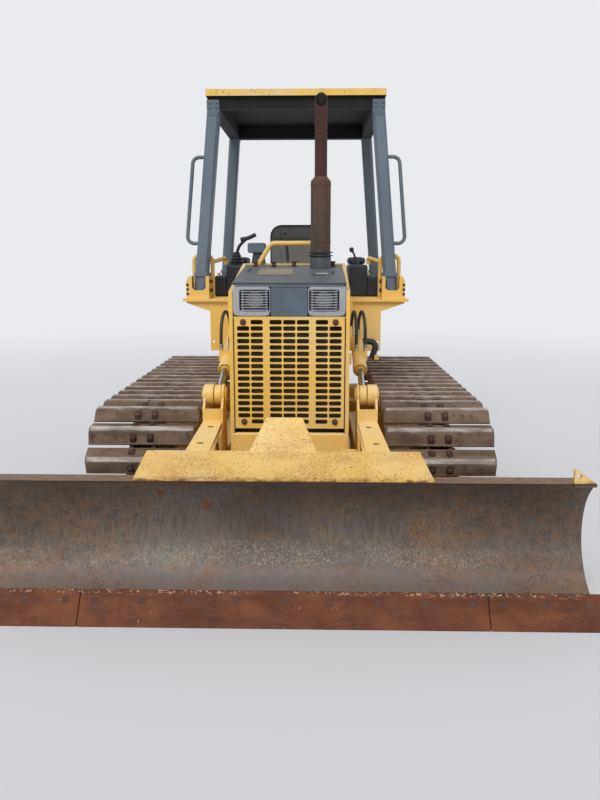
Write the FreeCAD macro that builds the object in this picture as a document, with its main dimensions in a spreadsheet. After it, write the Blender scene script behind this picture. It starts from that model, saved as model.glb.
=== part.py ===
import FreeCAD, Part
import math
import os
import re

import Sketcher

# A small crawler bulldozer with wide swamp tracks, an angling and tilting blade and a canopy on four posts.
# Millimetres. X is across (left of the machine is positive), Y runs back, Z is up from the ground.
# Y is 0 halfway between the cutting edge and the drawbar's end.

V = FreeCAD.Vector
doc = FreeCAD.newDocument("Bulldozer")
sheet = doc.addObject("Spreadsheet::Sheet", "Sizes")

# Each row: name, value (millimetres, degrees or a count), what it sets.
SIZES = (
    # running gear
    ("track_gauge", 1650, "between the tracks' middles"),
    ("shoe_width", 600, "width of a shoe"),
    ("shoe_count", 40, "shoes on one track"),
    ("idler_y", -750, "front idler's axle"),
    ("sprocket_y", 1410, "sprocket's axle"),
    ("track_radius", 390, "axle to a shoe's ridge"),
    ("ridge_height", 60, "ridge above the shoe's plate"),
    ("ridge_top", 24, "flat on top of a ridge"),
    ("shoe_gap", 10, "between two shoes at the plate"),
    ("shoe_plate", 12, "thickness of the shoe's plate"),
    ("link_height", 76, "height of the link chain"),
    ("link_width", 160, "width of the link chain"),
    ("wheel_width", 150, "width of idler and rollers"),
    ("roller_radius", 75, "lower rollers"),
    ("roller_count", 6, "lower rollers on one side"),
    ("carrier_radius", 60, "upper roller"),
    ("hub_radius", 190, "final drive's cover"),
    ("hub_reach", 130, "final drive's cover out from the track's middle"),
    ("axle_radius", 34, "axles of idler and rollers"),
    ("track_frame_width", 230, "outside of the track frame"),
    ("track_frame_top", 470, "top of the track frame"),
    ("skirt_thickness", 16, "side plates beside the rollers"),
    ("seat_gap", 0.3, "gap between a curved face and its seat"),
    ("pin_clearance", 0.4, "radial gap of pins and rods"),
    # main frame and rear
    ("frame_half", 340, "half width of the main frame"),
    ("belly_z", 350, "ground clearance"),
    ("frame_top", 545, "top of the main frame"),
    ("frame_front", -1070, "front of the main frame"),
    ("beam_depth", 70, "lower cross beam behind the frame's front"),
    ("frame_rear", 1500, "rear of the main frame"),
    ("nose_slope", 150, "slope under the frame's front"),
    ("member_half", 70, "half length of a cross member along Y"),
    ("member_low", 305, "underside of the cross members"),
    ("member_high", 465, "top of the cross members"),
    ("front_member_y", 480, "front cross member"),
    ("rear_member_y", 1060, "rear cross member"),
    ("case_half", 300, "half width of the transmission case"),
    ("case_rear", 1640, "rear face of the transmission case"),
    ("drawbar_end", 2000, "drawbar's end"),
    ("drawbar_low", 395, "underside of the drawbar"),
    ("drawbar_plate", 38, "thickness of a drawbar plate"),
    ("drawbar_throat", 76, "gap between the two drawbar plates"),
    ("drawbar_half", 90, "half width of the drawbar"),
    ("drawbar_pin", 22, "radius of the drawbar's pin hole"),
    # engine bay
    ("guard_front", -1090, "front face of the radiator guard"),
    ("guard_half", 320, "half width of the radiator guard"),
    ("side_plate", 20, "thickness of the engine bay's side plates"),
    ("beam_top", 650, "top of the lower cross beam"),
    ("side_top_front", 1438, "side plate's top edge at the front"),
    ("side_top_rear", 1578, "side plate's top edge at the rear"),
    ("side_top_y", -290, "where that rear height is reached"),
    ("bay_rear", -60, "rear of the side plates and the cowl"),
    ("grille_low", 692, "underside of the grille plate"),
    ("grille_high", 1306, "top of the grille plate"),
    ("slot_middle", 987.5, "middle row of slots"),
    ("grille_thickness", 12, "grille plate"),
    ("slot_wide", 65, "a slot's width"),
    ("slot_tall", 23, "a slot's height"),
    ("slot_pitch", 33, "from row to row"),
    ("slot_rows", 17, "rows of slots"),
    ("slot_step", 72.4, "from column to column within a group"),
    ("slot_strip", 28, "extra strip between the groups"),
    ("lamp_low", 1309, "underside of the lamp panel"),
    ("lamp_high", 1474, "top of the lamp panel"),
    ("lamp_inner", 105, "inner edge of a lamp's recess"),
    ("lamp_outer", 262, "outer edge of a lamp's recess"),
    ("lamp_margin", 26, "panel above and below a lamp's recess"),
    ("lamp_depth", 40, "depth of a lamp"),
    ("lamp_slots", 8, "louvre slots in front of a lamp"),
    ("lamp_slot_tall", 9, "a louvre slot's height"),
    ("core_thickness", 70, "radiator core"),
    ("core_drop", 30, "radiator core below the lamp panel's top"),
    ("hood_front_z", 1484, "hood's top at the front"),
    ("hood_rear_z", 1570, "hood's top at the rear"),
    ("hood_plate", 18, "hood's thickness"),
    ("cowl_top", 1563, "top of the cowl"),
    ("engine_half", 220, "half width of the engine"),
    ("engine_front", -930, "front of the engine"),
    ("engine_rear", -350, "rear of the engine"),
    ("engine_top", 1330, "top of the engine"),
    ("door_front", -1000, "side door's hinged front edge"),
    ("door_rear", -615, "side door's rear edge"),
    ("door_low", 1040, "side door's lower edge"),
    ("door_high", 1395, "side door's upper edge"),
    ("door_gap", 5, "gap round a side door"),
    ("door_corner", 40, "radius of the door's corners"),
    ("latch_radius", 18, "side door's latch"),
    ("hinge_radius", 8, "side door's hinge barrel"),
    ("hinge_gap", 0.5, "hinge barrel off the side plate"),
    ("knuckle", 60, "height of a hinge knuckle"),
    ("hinge_leaf", 40, "length of a hinge leaf"),
    ("latch_reach", 8, "latch out from the door"),
    ("core_gap", 12, "radiator core to the side plates"),
    ("grab_y", -318, "hood's grab rail"),
    ("grab_base", 225, "half width of the grab rail's feet"),
    ("grab_top", 140, "half width of the grab rail's top"),
    ("grab_rise", 135, "height of the grab rail"),
    ("rear_rail_deep", 28, "rail behind the hood, along the machine"),
    ("rear_rail_tall", 16, "rail behind the hood, above the cowl"),
    ("tube_radius", 14, "grab rail and deck rails"),
    # exhaust
    ("muffler_x", 165, "muffler's middle"),
    ("muffler_y", -430, "muffler's middle"),
    ("muffler_radius", 60, "muffler's shell"),
    ("muffler_low", 1640, "muffler's underside"),
    ("muffler_high", 2060, "top of the muffler's straight shell"),
    ("shoulder", 28, "muffler's cone above the shell"),
    ("pipe_radius", 37, "exhaust pipe"),
    ("pipe_top", 2570, "top of the exhaust pipe"),
    ("pipe_slant", 100, "slant of the pipe's end"),
    ("pipe_wall", 4, "exhaust pipe's wall"),
    ("elbow_radius", 45, "pipe from the engine to the muffler"),
    # operator's place
    ("deck_top", 1345, "top of the fenders"),
    ("deck_plate", 16, "fender's top plate"),
    ("deck_front", -55, "front edge of the fenders"),
    ("deck_rear", 1560, "rear edge of the fenders"),
    ("deck_half", 750, "half width over the fenders"),
    ("deck_inner", 350, "inner edge of the fenders"),
    ("flange_low", 1318, "lower edge of the fender's side flange"),
    ("web_low", 1263, "lower edge of the fender's front web beside its support"),
    ("wall", 15, "fender's flange and inner wall"),
    ("lip", 24, "fender's deck out from its flange"),
    ("floor_top", 1010, "operator's floor"),
    ("floor_plate", 25, "floor's thickness"),
    ("support_low", 1000, "lower end of the fender's front support"),
    ("support_edge", 570, "outer edge of the fender's front support"),
    ("support_hole", 9, "radius of the hole in the front support"),
    ("support_hole_in", 18, "that hole in from the support's edge"),
    ("support_hole_up", 58, "that hole above the support's lower end"),
    ("console_inner", 370, "inner side of the consoles"),
    ("console_outer", 585, "outer side of the consoles"),
    ("console_front", 300, "front of the consoles"),
    ("console_rear", 900, "rear of the consoles"),
    ("console_top", 1570, "top of the consoles"),
    ("stick_x", 440, "joysticks"),
    ("stick_y", 370, "joysticks"),
    ("stick_radius", 20, "a joystick's grip"),
    ("stick_top", 1765, "top of a joystick"),
    ("pod_x", -240, "instrument pod's middle"),
    ("pod_half", 57, "half width of the instrument pod"),
    ("pod_top", 1709, "top of the instrument pod"),
    ("seat_half", 225, "half width of the seat"),
    ("seat_front", 400, "front of the seat"),
    ("seat_y", 850, "front face of the seat's back"),
    ("seat_back_thickness", 110, "seat's back"),
    ("seat_low", 1250, "underside of the cushion"),
    ("cushion", 120, "height of the cushion"),
    ("seat_top", 1870, "top of the seat's back"),
    ("seat_round", 95, "corners of the seat's back"),
    ("base_inset", 20, "seat's base in from the cushion's sides"),
    ("base_front", 40, "seat's base behind the cushion's front"),
    ("tank_top", 1480, "top of the fuel tank"),
    ("tank_front", 985, "front of the fuel tank"),
    ("tank_rear", 1500, "rear of the fuel tank"),
    # canopy
    ("roof_half", 592, "half width of the roof"),
    ("roof_front", 120, "front edge of the roof"),
    ("roof_rear", 1510, "rear edge of the roof"),
    ("roof_top", 2700, "overall height"),
    ("roof_rim", 42, "height of the roof's rim"),
    ("roof_skin", 14, "thickness of the roof's plate"),
    ("beam_drop", 75, "roof beams below the rim"),
    ("beam_wide", 80, "width of the roof beams"),
    ("post_top_x", 545, "posts' middle at the roof"),
    ("post_foot_x", 643, "posts' middle at the fender"),
    ("post_wide", 84, "post across"),
    ("post_deep", 100, "post along the machine"),
    ("post_chamfer", 16, "post's chamfered edges"),
    ("front_post_top", 185, "front posts at the roof"),
    ("front_post_foot", 45, "front posts at the fender"),
    ("rear_post_top", 1440, "rear posts at the roof"),
    ("rear_post_foot", 1470, "rear posts at the fender"),
    ("cheek_top", 1493, "top of the post sockets"),
    ("cheek_thickness", 14, "plates of the post sockets"),
    ("socket_side", 12, "room beside a post in its socket"),
    ("socket_end", 10, "cheeks' overhang before and behind a post"),
    ("socket_flange", 16, "socket's front plate out past its cheek"),
    ("socket_slot", 4, "front plate's slot wider than the post, each side"),
    ("socket_sill", 57, "foot of that slot above the deck"),
    ("socket_corner", 16, "cut corners of the front plate"),
    ("collar_tall", 24, "collar of a front post above its socket"),
    ("collar_grow", 9, "collar out from the post"),
    ("handle_drop", 425, "upper end of a post's handle below the roof's top"),
    ("handle_length", 565, "length of a post's handle"),
    ("handle_reach", 118, "handle out from the post's middle"),
    ("handle_radius", 12.5, "handle's tube"),
    ("rail_inner", 575, "inner leg of a deck rail"),
    ("rail_outer", 702, "outer leg of a deck rail"),
    ("rail_y", 165, "deck rail behind the front post"),
    ("rail_top", 1632, "top of a deck rail"),
    ("rail_bend", 45, "bends of a deck rail"),
    ("stay_x", 505, "foot of a deck rail's stay on the console"),
    ("stay_y", 345, "foot of a deck rail's stay on the console"),
    ("stay_rise", 45, "upright end of the stay above the console"),
    ("stay_bend", 20, "bend of the stay"),
    # C-frame and blade
    ("pivot_y", 210, "C-frame's pivot"),
    ("pivot_z", 420, "C-frame's pivot"),
    ("pivot_radius", 42, "C-frame's pivot pin"),
    ("arm_x", 430, "middle of an arm"),
    ("arm_width", 100, "an arm across"),
    ("arm_height", 150, "an arm's depth"),
    ("arm_front_low", 340, "underside of the arm's front"),
    ("arm_front_high", 505, "top of the arm's front"),
    ("cross_front", -1430, "front of the C-frame's cross beam"),
    ("cross_depth", 110, "cross beam's length along Y"),
    ("guard_plate_low", 628, "underside of the angle cylinder's guard"),
    ("guard_plate_front", -1385, "front end of that guard"),
    ("cheek_half", 56, "half width over the lift bracket's cheeks"),
    ("cheek_x", 425, "middle between the cheeks"),
    ("cheek_plate", 12, "lift bracket's cheeks"),
    ("cheek_nose", 1130, "front end of the cheeks' feet, ahead of the sheet's middle"),
    ("boss_radius", 50, "lift pin's boss"),
    ("bracket_plate", 12, "plate across the front of the lift bracket"),
    ("bracket_plate_y", -1030, "front face of that plate"),
    ("bracket_plate_low", 690, "underside of that plate"),
    ("bracket_plate_high", 795, "top of that plate"),
    ("lift_x", 404, "lift cylinders"),
    ("lift_pin_y", -924, "lift cylinder's rod pin"),
    ("lift_pin_z", 857, "lift cylinder's rod pin"),
    ("lift_base_y", -170, "lift cylinder's rear pin"),
    ("lift_base_z", 1100, "lift cylinder's rear pin"),
    ("lift_barrel", 40, "lift cylinder's barrel"),
    ("lift_rod", 18, "lift cylinder's rod"),
    ("lift_barrel_length", 478, "rear pin to the gland"),
    ("lift_rod_length", 468, "rod pin to the rod's inner end"),
    ("lift_eye", 38, "width of a lift cylinder's eye"),
    ("lift_start", 42, "lift cylinder's pin to its barrel"),
    ("lift_bore_start", 60, "lift cylinder's pin to its bore"),
    ("port_front", -500, "lift cylinder's front hose port"),
    ("port_rear", -280, "lift cylinder's rear hose port"),
    ("port_front_top", 1078, "top of the front hose fittings"),
    ("port_rear_top", 1150, "top of the rear hose fittings"),
    ("hose_radius", 10, "hydraulic hoses"),
    ("fitting_radius", 12, "hose fittings"),
    ("port_half", 20, "half length of a port block"),
    ("eye_width", 50, "width of an angle or tilt cylinder's eye"),
    ("ball_y", -1575, "blade's centre pivot"),
    ("ball_low", 250, "underside of the C-frame's nose"),
    ("ball_high", 410, "top of the C-frame's nose"),
    ("nose_radius", 82, "C-frame's nose"),
    ("king_radius", 48, "centre pin"),
    ("fork_plate", 32, "carrier's plates above and below the nose"),
    ("play", 6, "gap between two moving pieces"),
    ("carrier_front", -1690, "front face of the blade carrier"),
    ("carrier_web", 18, "carrier's front plate"),
    ("lug_z", 575, "angle cylinders' height"),
    ("lug_plate", 15, "lug plates for the angle rods"),
    ("lug_side", 50, "lug plates out past the angle rod's pin"),
    ("lug_end", 40, "lug plates behind the angle rod's pin"),
    ("angle_base_x", 430, "angle cylinder's rear pin"),
    ("angle_base_y", -1000, "angle cylinder's rear pin"),
    ("angle_pin_x", 380, "angle cylinder's rod pin"),
    ("angle_pin_y", -1625, "angle cylinder's rod pin"),
    ("angle_barrel", 31, "angle cylinder's barrel"),
    ("angle_rod", 16, "angle cylinder's rod"),
    ("angle_barrel_length", 424, "rear pin to the gland"),
    ("angle_rod_length", 402, "rod pin to the rod's inner end"),
    ("angle_start", 34, "angle cylinder's pin to its barrel"),
    ("angle_bore_start", 48, "angle cylinder's pin to its bore"),
    ("trunnion_z", 330, "tilt axis"),
    ("trunnion_radius", 55, "tilt pin"),
    ("tilt_y", -1635, "tilt cylinder"),
    ("tilt_z", 682, "tilt cylinder"),
    ("tilt_base_x", 300, "tilt cylinder's pin on the carrier"),
    ("tilt_pin_x", -120, "tilt cylinder's pin on the blade"),
    ("tilt_barrel", 32, "tilt cylinder's barrel"),
    ("tilt_rod", 16, "tilt cylinder's rod"),
    ("tilt_start", 42, "tilt cylinder's pin to its barrel"),
    ("tilt_bore_start", 54, "tilt cylinder's pin to its bore"),
    ("tilt_bracket_half", 35, "half width of the tilt cylinder's brackets"),
    ("tilt_bracket", 10, "plates of the tilt cylinder's bracket on the carrier"),
    ("tilt_lug", 12, "plates of the tilt cylinder's lug on the blade"),
    ("tilt_lug_half", 34, "half width of the tilt cylinder's lug"),
    ("tilt_bridge", 10, "bar over the tilt cylinder's lug"),
    ("tilt_leg_front", 60, "front of the lug's leg ahead of the blade's ribs"),
    ("tilt_leg", 15, "lug's leg along the machine"),
    ("tilt_leg_sink", 30, "lug's leg below the moldboard's top edge"),
    ("tilt_barrel_length", 320, "pin to the gland"),
    ("tilt_rod_length", 225, "rod pin to the rod's inner end"),
    ("blade_half", 1370, "half width of the moldboard"),
    ("blade_top_y", -1890, "moldboard's top edge"),
    ("blade_top_z", 640, "moldboard's top edge"),
    ("blade_foot_y", -1900, "moldboard's foot, where the edge begins"),
    ("blade_foot_z", 135, "moldboard's foot, where the edge begins"),
    ("mold_radius", 285, "moldboard's curve"),
    ("mold_plate", 14, "moldboard's plate"),
    ("blade_back", -1720, "rear face of the blade's ribs"),
    ("beam_inset", 20, "blade's top beam below the top edge"),
    ("beam_tall", 95, "height of the blade's two beams"),
    ("rib", 20, "thickness of a blade rib"),
    ("centre_plate", 8, "plate behind the moldboard round the tilt pin"),
    ("edge_half", 1425, "half width of the cutting edge"),
    ("edge_tip", -2000, "cutting edge's tip"),
    ("edge_plate", 22, "cutting edge's thickness"),
    ("centre_drop", 100, "centre plate below the moldboard's top"),
    ("spill_bottom", 670, "spill guard's half width at the foot"),
    ("spill_top", 600, "spill guard's half width at the top"),
    ("spill_high", 775, "spill guard's top"),
    ("spill_sink", 10, "spill guard's foot below the moldboard's top edge"),
    ("cover_high", 890, "top of the spill guard's centre cover"),
    ("cover_bottom", 148, "centre cover's half width at its foot"),
    ("cover_top", 82, "centre cover's half width at its top"),
    ("cover_lean", 170, "centre cover's lean backwards"),
    ("ear_reach", 63, "lifting ear above the moldboard"),
    ("ear_width", 99, "lifting ear's foot"),
    ("ear_flat", 16, "flat top of a lifting ear"),
    ("ear_plate", 20, "lifting ear's thickness"),
    ("ear_hole", 12, "lifting ear's hole"),
    ("ear_hole_in", 20, "lifting ear's hole from the ear's inner edge"),
    ("ear_hole_up", 36, "lifting ear's hole above the moldboard"),
)

ALIASES = {row[0] for row in SIZES}
for line, (alias, value, meaning) in enumerate(SIZES, 1):
    sheet.set(f"A{line}", meaning)
    sheet.set(f"B{line}", str(value))
    sheet.setAlias(f"B{line}", alias)
doc.recompute()

WORD = re.compile(r"[a-z_]+")
SIDES = (("left", 1), ("right", -1))
nodes = []


def tied(text):
    """An expression on the sheet: every size's name gets the sheet's name in front."""
    return WORD.sub(lambda m: "Sizes." + m.group() if m.group() in ALIASES else m.group(), str(text))


def size(text):
    """The value of an expression on the sheet, as a plain number."""
    return float(sheet.evalExpression(tied(text)))


def keep(piece, name):
    """Marks a finished sub-part: its label is its node's name."""
    piece.Label = name
    nodes.append(piece)
    return piece


def box(name, x_low, x_high, y_low, y_high, z_low, z_high):
    """A block between two expressions on each axis."""
    piece = doc.addObject("Part::Box", name)
    for axis, length, low, high in (
        ("x", "Length", x_low, x_high),
        ("y", "Width", y_low, y_high),
        ("z", "Height", z_low, z_high),
    ):
        piece.setExpression(length, tied(f"({high}) - ({low})"))
        piece.setExpression(f"Placement.Base.{axis}", tied(low))
    return piece


def side_box(name, side, x_inner, x_outer, *rest):
    """A block on one side of the machine: side 1 is left, -1 is right."""
    low, high = (x_inner, x_outer) if side > 0 else (f"-({x_outer})", f"-({x_inner})")
    return box(name, low, high, *rest)


TURNS = {"X": (V(0, 1, 0), 90), "Y": (V(1, 0, 0), -90), "Z": (V(0, 0, 1), 0)}


def bar(name, axis, radius, low, high, across, up):
    """A round bar along an axis from low to high. Its place is given by the two other coordinates."""
    piece = doc.addObject("Part::Cylinder", name)
    piece.Placement = FreeCAD.Placement(V(0, 0, 0), FreeCAD.Rotation(*TURNS[axis]))
    piece.setExpression("Radius", tied(radius))
    piece.setExpression("Height", tied(f"({high}) - ({low})"))
    places = {"X": ("x", "y", "z"), "Y": ("y", "x", "z"), "Z": ("z", "x", "y")}[axis]
    for place, text in zip(places, (low, across, up)):
        piece.setExpression(f"Placement.Base.{place}", tied(text))
    return piece


def side_bar(name, side, radius, x_inner, x_outer, across, up):
    """A round bar across the machine on one side."""
    low, high = (x_inner, x_outer) if side > 0 else (f"-({x_outer})", f"-({x_inner})")
    return bar(name, "X", radius, low, high, across, up)


def arc_middle(start, end, radius):
    """A point halfway along the arc of this radius. A positive radius bulges to the right of the way."""
    chord = end.sub(start)
    half = chord.Length / 2
    depth = abs(radius) - math.sqrt(radius * radius - half * half)
    right = V(chord.y, -chord.x, 0).normalize()
    return start.add(chord * 0.5).add(right * math.copysign(depth, radius))


PLANES = {"XY": ("z", 1), "XZ": ("y", -1), "YZ": ("x", 1)}


def prism(name, plane, low, high, outline):
    """A PartDesign body: an outline on an origin plane, padded between two expressions of the third axis.

    Each corner is (across, up), or (across, up, radius) where an arc leads on to the next corner.
    """
    body = doc.addObject("PartDesign::Body", name)
    base = next(f for f in body.Origin.OriginFeatures if f.Role == f"{plane}_Plane")
    sketch = body.newObject("Sketcher::SketchObject", name + "_outline")
    sketch.AttachmentSupport = [(base, "")]
    sketch.MapMode = "FlatFace"
    corners = [V(size(row[0]), size(row[1]), 0) for row in outline]
    following = corners[1:] + corners[:1]
    for row, start, end in zip(outline, corners, following):
        if len(row) == 3:
            middle = arc_middle(start, end, size(row[2]))
            sketch.addGeometry(Part.Arc(start, middle, end), False)
        else:
            sketch.addGeometry(Part.LineSegment(start, end), False)
    count = len(outline)
    for i, row in enumerate(outline):
        # An arc is stored turning left, so one that was drawn turning right has its ends swapped.
        turned = len(row) == 3 and size(row[2]) < 0
        begin = 2 if turned else 1
        before = outline[i - 1]
        finish = 1 if len(before) == 3 and size(before[2]) < 0 else 2
        sketch.addConstraint(Sketcher.Constraint("Coincident", i, begin, (i - 1) % count, finish))
        for kind, text in (("DistanceX", row[0]), ("DistanceY", row[1])):
            number = sketch.addConstraint(Sketcher.Constraint(kind, -1, 1, i, begin, size(text)))
            sketch.setExpression(f"Constraints[{number}]", tied(text))
        if len(row) == 3:
            number = sketch.addConstraint(Sketcher.Constraint("Radius", i, abs(size(row[2]))))
            sketch.setExpression(f"Constraints[{number}]", tied(f"abs({row[2]})"))
    pad = body.newObject("PartDesign::Pad", name + "_pad")
    pad.Profile = sketch
    pad.setExpression("Length", tied(f"({high}) - ({low})"))
    place, way = PLANES[plane]
    body.setExpression(f"Placement.Base.{place}", tied(low if way > 0 else high))
    return body


def side_prism(name, side, x_inner, x_outer, outline):
    """A profile seen from the side, on one side of the machine."""
    low, high = (x_inner, x_outer) if side > 0 else (f"-({x_outer})", f"-({x_inner})")
    return prism(name, "YZ", low, high, outline)


def fuse(name, *pieces):
    piece = doc.addObject("Part::MultiFuse", name)
    piece.Shapes = list(pieces)
    piece.Refine = True
    return piece


def cut(name, base, *tools):
    piece = doc.addObject("Part::Cut", name)
    piece.Base = base
    piece.Tool = tools[0] if len(tools) == 1 else fuse(name + "_tools", *tools)
    piece.Refine = True
    return piece


def group(name, *pieces):
    """Solids that don't touch and share one node."""
    piece = doc.addObject("Part::Compound", name)
    piece.Links = list(pieces)
    return piece


def made(name, shape):
    """A piece whose shape is worked out in code from the sheet's sizes."""
    piece = doc.addObject("Part::Feature", name)
    piece.Shape = shape
    piece.Placement = FreeCAD.Placement()
    return piece


def tube(points, radius, bend):
    """A round tube along straight runs joined by tangent arcs of one bend radius."""
    edges = []
    here = points[0]
    for before, corner, after in zip(points, points[1:], points[2:]):
        inward = before.sub(corner).normalize()
        outward = after.sub(corner).normalize()
        half = inward.getAngle(outward) / 2
        reach = bend / math.tan(half)
        start = corner.add(inward * reach)
        end = corner.add(outward * reach)
        middle_way = inward.add(outward).normalize()
        middle = corner.add(middle_way * (bend / math.sin(half) - bend))
        edges += [Part.LineSegment(here, start).toShape(), Part.Arc(start, middle, end).toShape()]
        here = end
    edges.append(Part.LineSegment(here, points[-1]).toShape())
    path = Part.Wire(edges)
    way = points[1].sub(points[0])
    ring = Part.Wire([Part.makeCircle(radius, points[0], way)])
    return path.makePipeShell([ring], True, True)


# Tracks and what they run on


TRACK_INNER = "(track_gauge - shoe_width) / 2"
LINK_RADIUS = "(track_radius - ridge_height - shoe_plate - link_height)"
AXLE_Z = "track_radius"


def track_point(along, span, radius):
    """Place and outward way of a point on the loop, that far along it at this radius from the axles."""
    wrap = math.pi * radius
    loop = 2 * (span + wrap)
    along %= loop
    front, rear, middle = size("idler_y"), size("sprocket_y"), size(AXLE_Z)
    if along < span:
        return V(0, front + along, middle + radius), V(0, 0, 1)
    along -= span
    if along < wrap:
        angle = math.pi / 2 - along / radius
        way = V(0, math.cos(angle), math.sin(angle))
        return V(0, rear, middle).add(way * radius), way
    along -= wrap
    if along < span:
        return V(0, rear - along, middle - radius), V(0, 0, -1)
    angle = -math.pi / 2 - (along - span) / radius
    way = V(0, math.cos(angle), math.sin(angle))
    return V(0, front, middle).add(way * radius), way


def stadium(radius, x_low, x_high):
    """The loop's form at this radius, as one solid."""
    front, rear, middle = size("idler_y"), size("sprocket_y"), size(AXLE_Z)
    across = V(1, 0, 0)
    length = x_high - x_low
    wheels = [Part.makeCylinder(radius, length, V(x_low, y, middle), across) for y in (front, rear)]
    block = Part.makeBox(length, rear - front, 2 * radius, V(x_low, front, middle - radius))
    return wheels[0].multiFuse([wheels[1], block]).removeSplitter()


def track(name, side):
    """One loop: every shoe is a plate with a roof-shaped ridge, fused with the link chain."""
    plate_radius = size("track_radius - ridge_height")
    span = size("sprocket_y - idler_y")
    count = int(size("shoe_count"))
    pitch = 2 * (span + math.pi * plate_radius) / count
    half_foot = pitch / 2 - size("shoe_gap")
    half_top = size("ridge_top") / 2
    rise = size("ridge_height")
    # Along the loop and above the plate, for one shoe.
    section = ((-half_foot, 0), (-half_top, rise), (half_top, rise), (half_foot, 0))
    corners = []
    for number in range(count):
        centre, way = track_point((number + 0.5) * pitch, span, plate_radius)
        onward = V(0, way.z, -way.y)
        corners += [centre.add(onward * along).add(way * up) for along, up in section]
    x_middle = side * size("track_gauge / 2")
    x_low = x_middle - size("shoe_width / 2")
    ring = Part.Wire(Part.makePolygon(corners + corners[:1]))
    outer = Part.Face(ring).extrude(V(size("shoe_width"), 0, 0))
    outer.translate(V(x_low, 0, 0))
    under_plate = plate_radius - size("shoe_plate")
    hollow = stadium(under_plate, x_low - 1, x_low + size("shoe_width") + 1)
    half_link = size("link_width / 2")
    chain = stadium(under_plate + 1, x_middle - half_link, x_middle + half_link)
    chain_hollow = stadium(size(LINK_RADIUS), x_middle - half_link - 1, x_middle + half_link + 1)
    loop = outer.cut(hollow).fuse(chain.cut(chain_hollow)).removeSplitter()
    return made(name, loop)


def running_gear(side, word):
    """Idler, sprocket hub, lower rollers and the upper roller of one side."""
    name = "running_gear_" + word
    middle = f"{side} * track_gauge / 2"
    near, far = f"{middle} - wheel_width / 2", f"{middle} + wheel_width / 2"
    axle_near = f"{middle} - track_frame_width / 2 + skirt_thickness + seat_gap"
    axle_far = f"{middle} + track_frame_width / 2 - skirt_thickness - seat_gap"
    wheel = f"{LINK_RADIUS} - seat_gap"
    idler = fuse(
        name + "_idler",
        bar(name + "_idler_rim", "X", wheel, near, far, "idler_y", AXLE_Z),
        bar(name + "_idler_axle", "X", "axle_radius", axle_near, axle_far, "idler_y", AXLE_Z),
    )
    inboard = (middle, f"{middle} - {side} * hub_reach")
    outboard = (middle, f"{middle} + {side} * hub_reach")
    if side < 0:
        inboard, outboard = inboard, outboard[::-1]
    else:
        inboard = inboard[::-1]
    sprocket = fuse(
        name + "_sprocket",
        bar(name + "_sprocket_rim", "X", wheel, near, far, "sprocket_y", AXLE_Z),
        bar(name + "_sprocket_hub", "X", "hub_radius", *outboard, "sprocket_y", AXLE_Z),
        bar(name + "_sprocket_inner", "X", "hub_radius", *inboard, "sprocket_y", AXLE_Z),
    )
    rollers = []
    roller_z = f"track_radius - {LINK_RADIUS} + roller_radius + seat_gap"
    for number in range(int(size("roller_count"))):
        place = f"idler_y + (sprocket_y - idler_y) * (1 + {number}) / (roller_count + 1)"
        stem = f"{name}_roller_{number + 1}"
        rollers.append(
            fuse(
                stem,
                bar(stem + "_rim", "X", "roller_radius", near, far, place, roller_z),
                bar(stem + "_axle", "X", "axle_radius", axle_near, axle_far, place, roller_z),
            )
        )
    upper_z = f"track_radius + {LINK_RADIUS} - carrier_radius - seat_gap"
    upper_y = "(idler_y + sprocket_y) / 2"
    upper = bar(name + "_upper", "X", "carrier_radius", near, far, upper_y, upper_z)
    keep(group(name, idler, sprocket, upper, *rollers), name)


def track_frame(side, word):
    """The long box over the rollers, its side plates, the idler's yoke and the upper roller's block."""
    name = "track_frame_" + word
    middle = f"{side} * track_gauge / 2"
    near, far = f"{middle} - track_frame_width / 2", f"{middle} + track_frame_width / 2"
    roof = f"2 * track_radius - 2 * {LINK_RADIUS} + 10"
    body_front = f"idler_y + {LINK_RADIUS} + 20"
    body_rear = f"sprocket_y - {LINK_RADIUS} - 20"
    roller_top = f"track_radius - {LINK_RADIUS} + 2 * roller_radius + 12"
    pieces = [box(name + "_top", near, far, body_front, body_rear, roller_top, "track_frame_top")]
    skirt_low = f"track_radius - {LINK_RADIUS} + 12"
    for label, low, high in (
        ("near", near, f"{near} + skirt_thickness"),
        ("far", f"{far} - skirt_thickness", far),
    ):
        pieces.append(box(f"{name}_{label}_skirt", low, high, body_front, body_rear, skirt_low, roller_top))
        pieces.append(
            box(
                f"{name}_{label}_yoke", low, high, "idler_y - axle_radius - 30", body_front,
                "track_radius - axle_radius - 30", "track_radius + axle_radius + 30",
            )
        )
    upper_y = "(idler_y + sprocket_y) / 2"
    upper_axle = f"track_radius + {LINK_RADIUS} - carrier_radius - seat_gap"
    for label, low, high in (
        ("near", near, f"{middle} - wheel_width / 2 - seat_gap"),
        ("far", f"{middle} + wheel_width / 2 + seat_gap", far),
    ):
        pieces.append(
            box(
                f"{name}_{label}_block", low, high, f"{upper_y} - axle_radius", f"{upper_y} + axle_radius",
                "track_frame_top", f"{upper_axle} + axle_radius",
            )
        )
    keep(fuse(name, *pieces), name)


# Main frame, transmission case and drawbar


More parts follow.
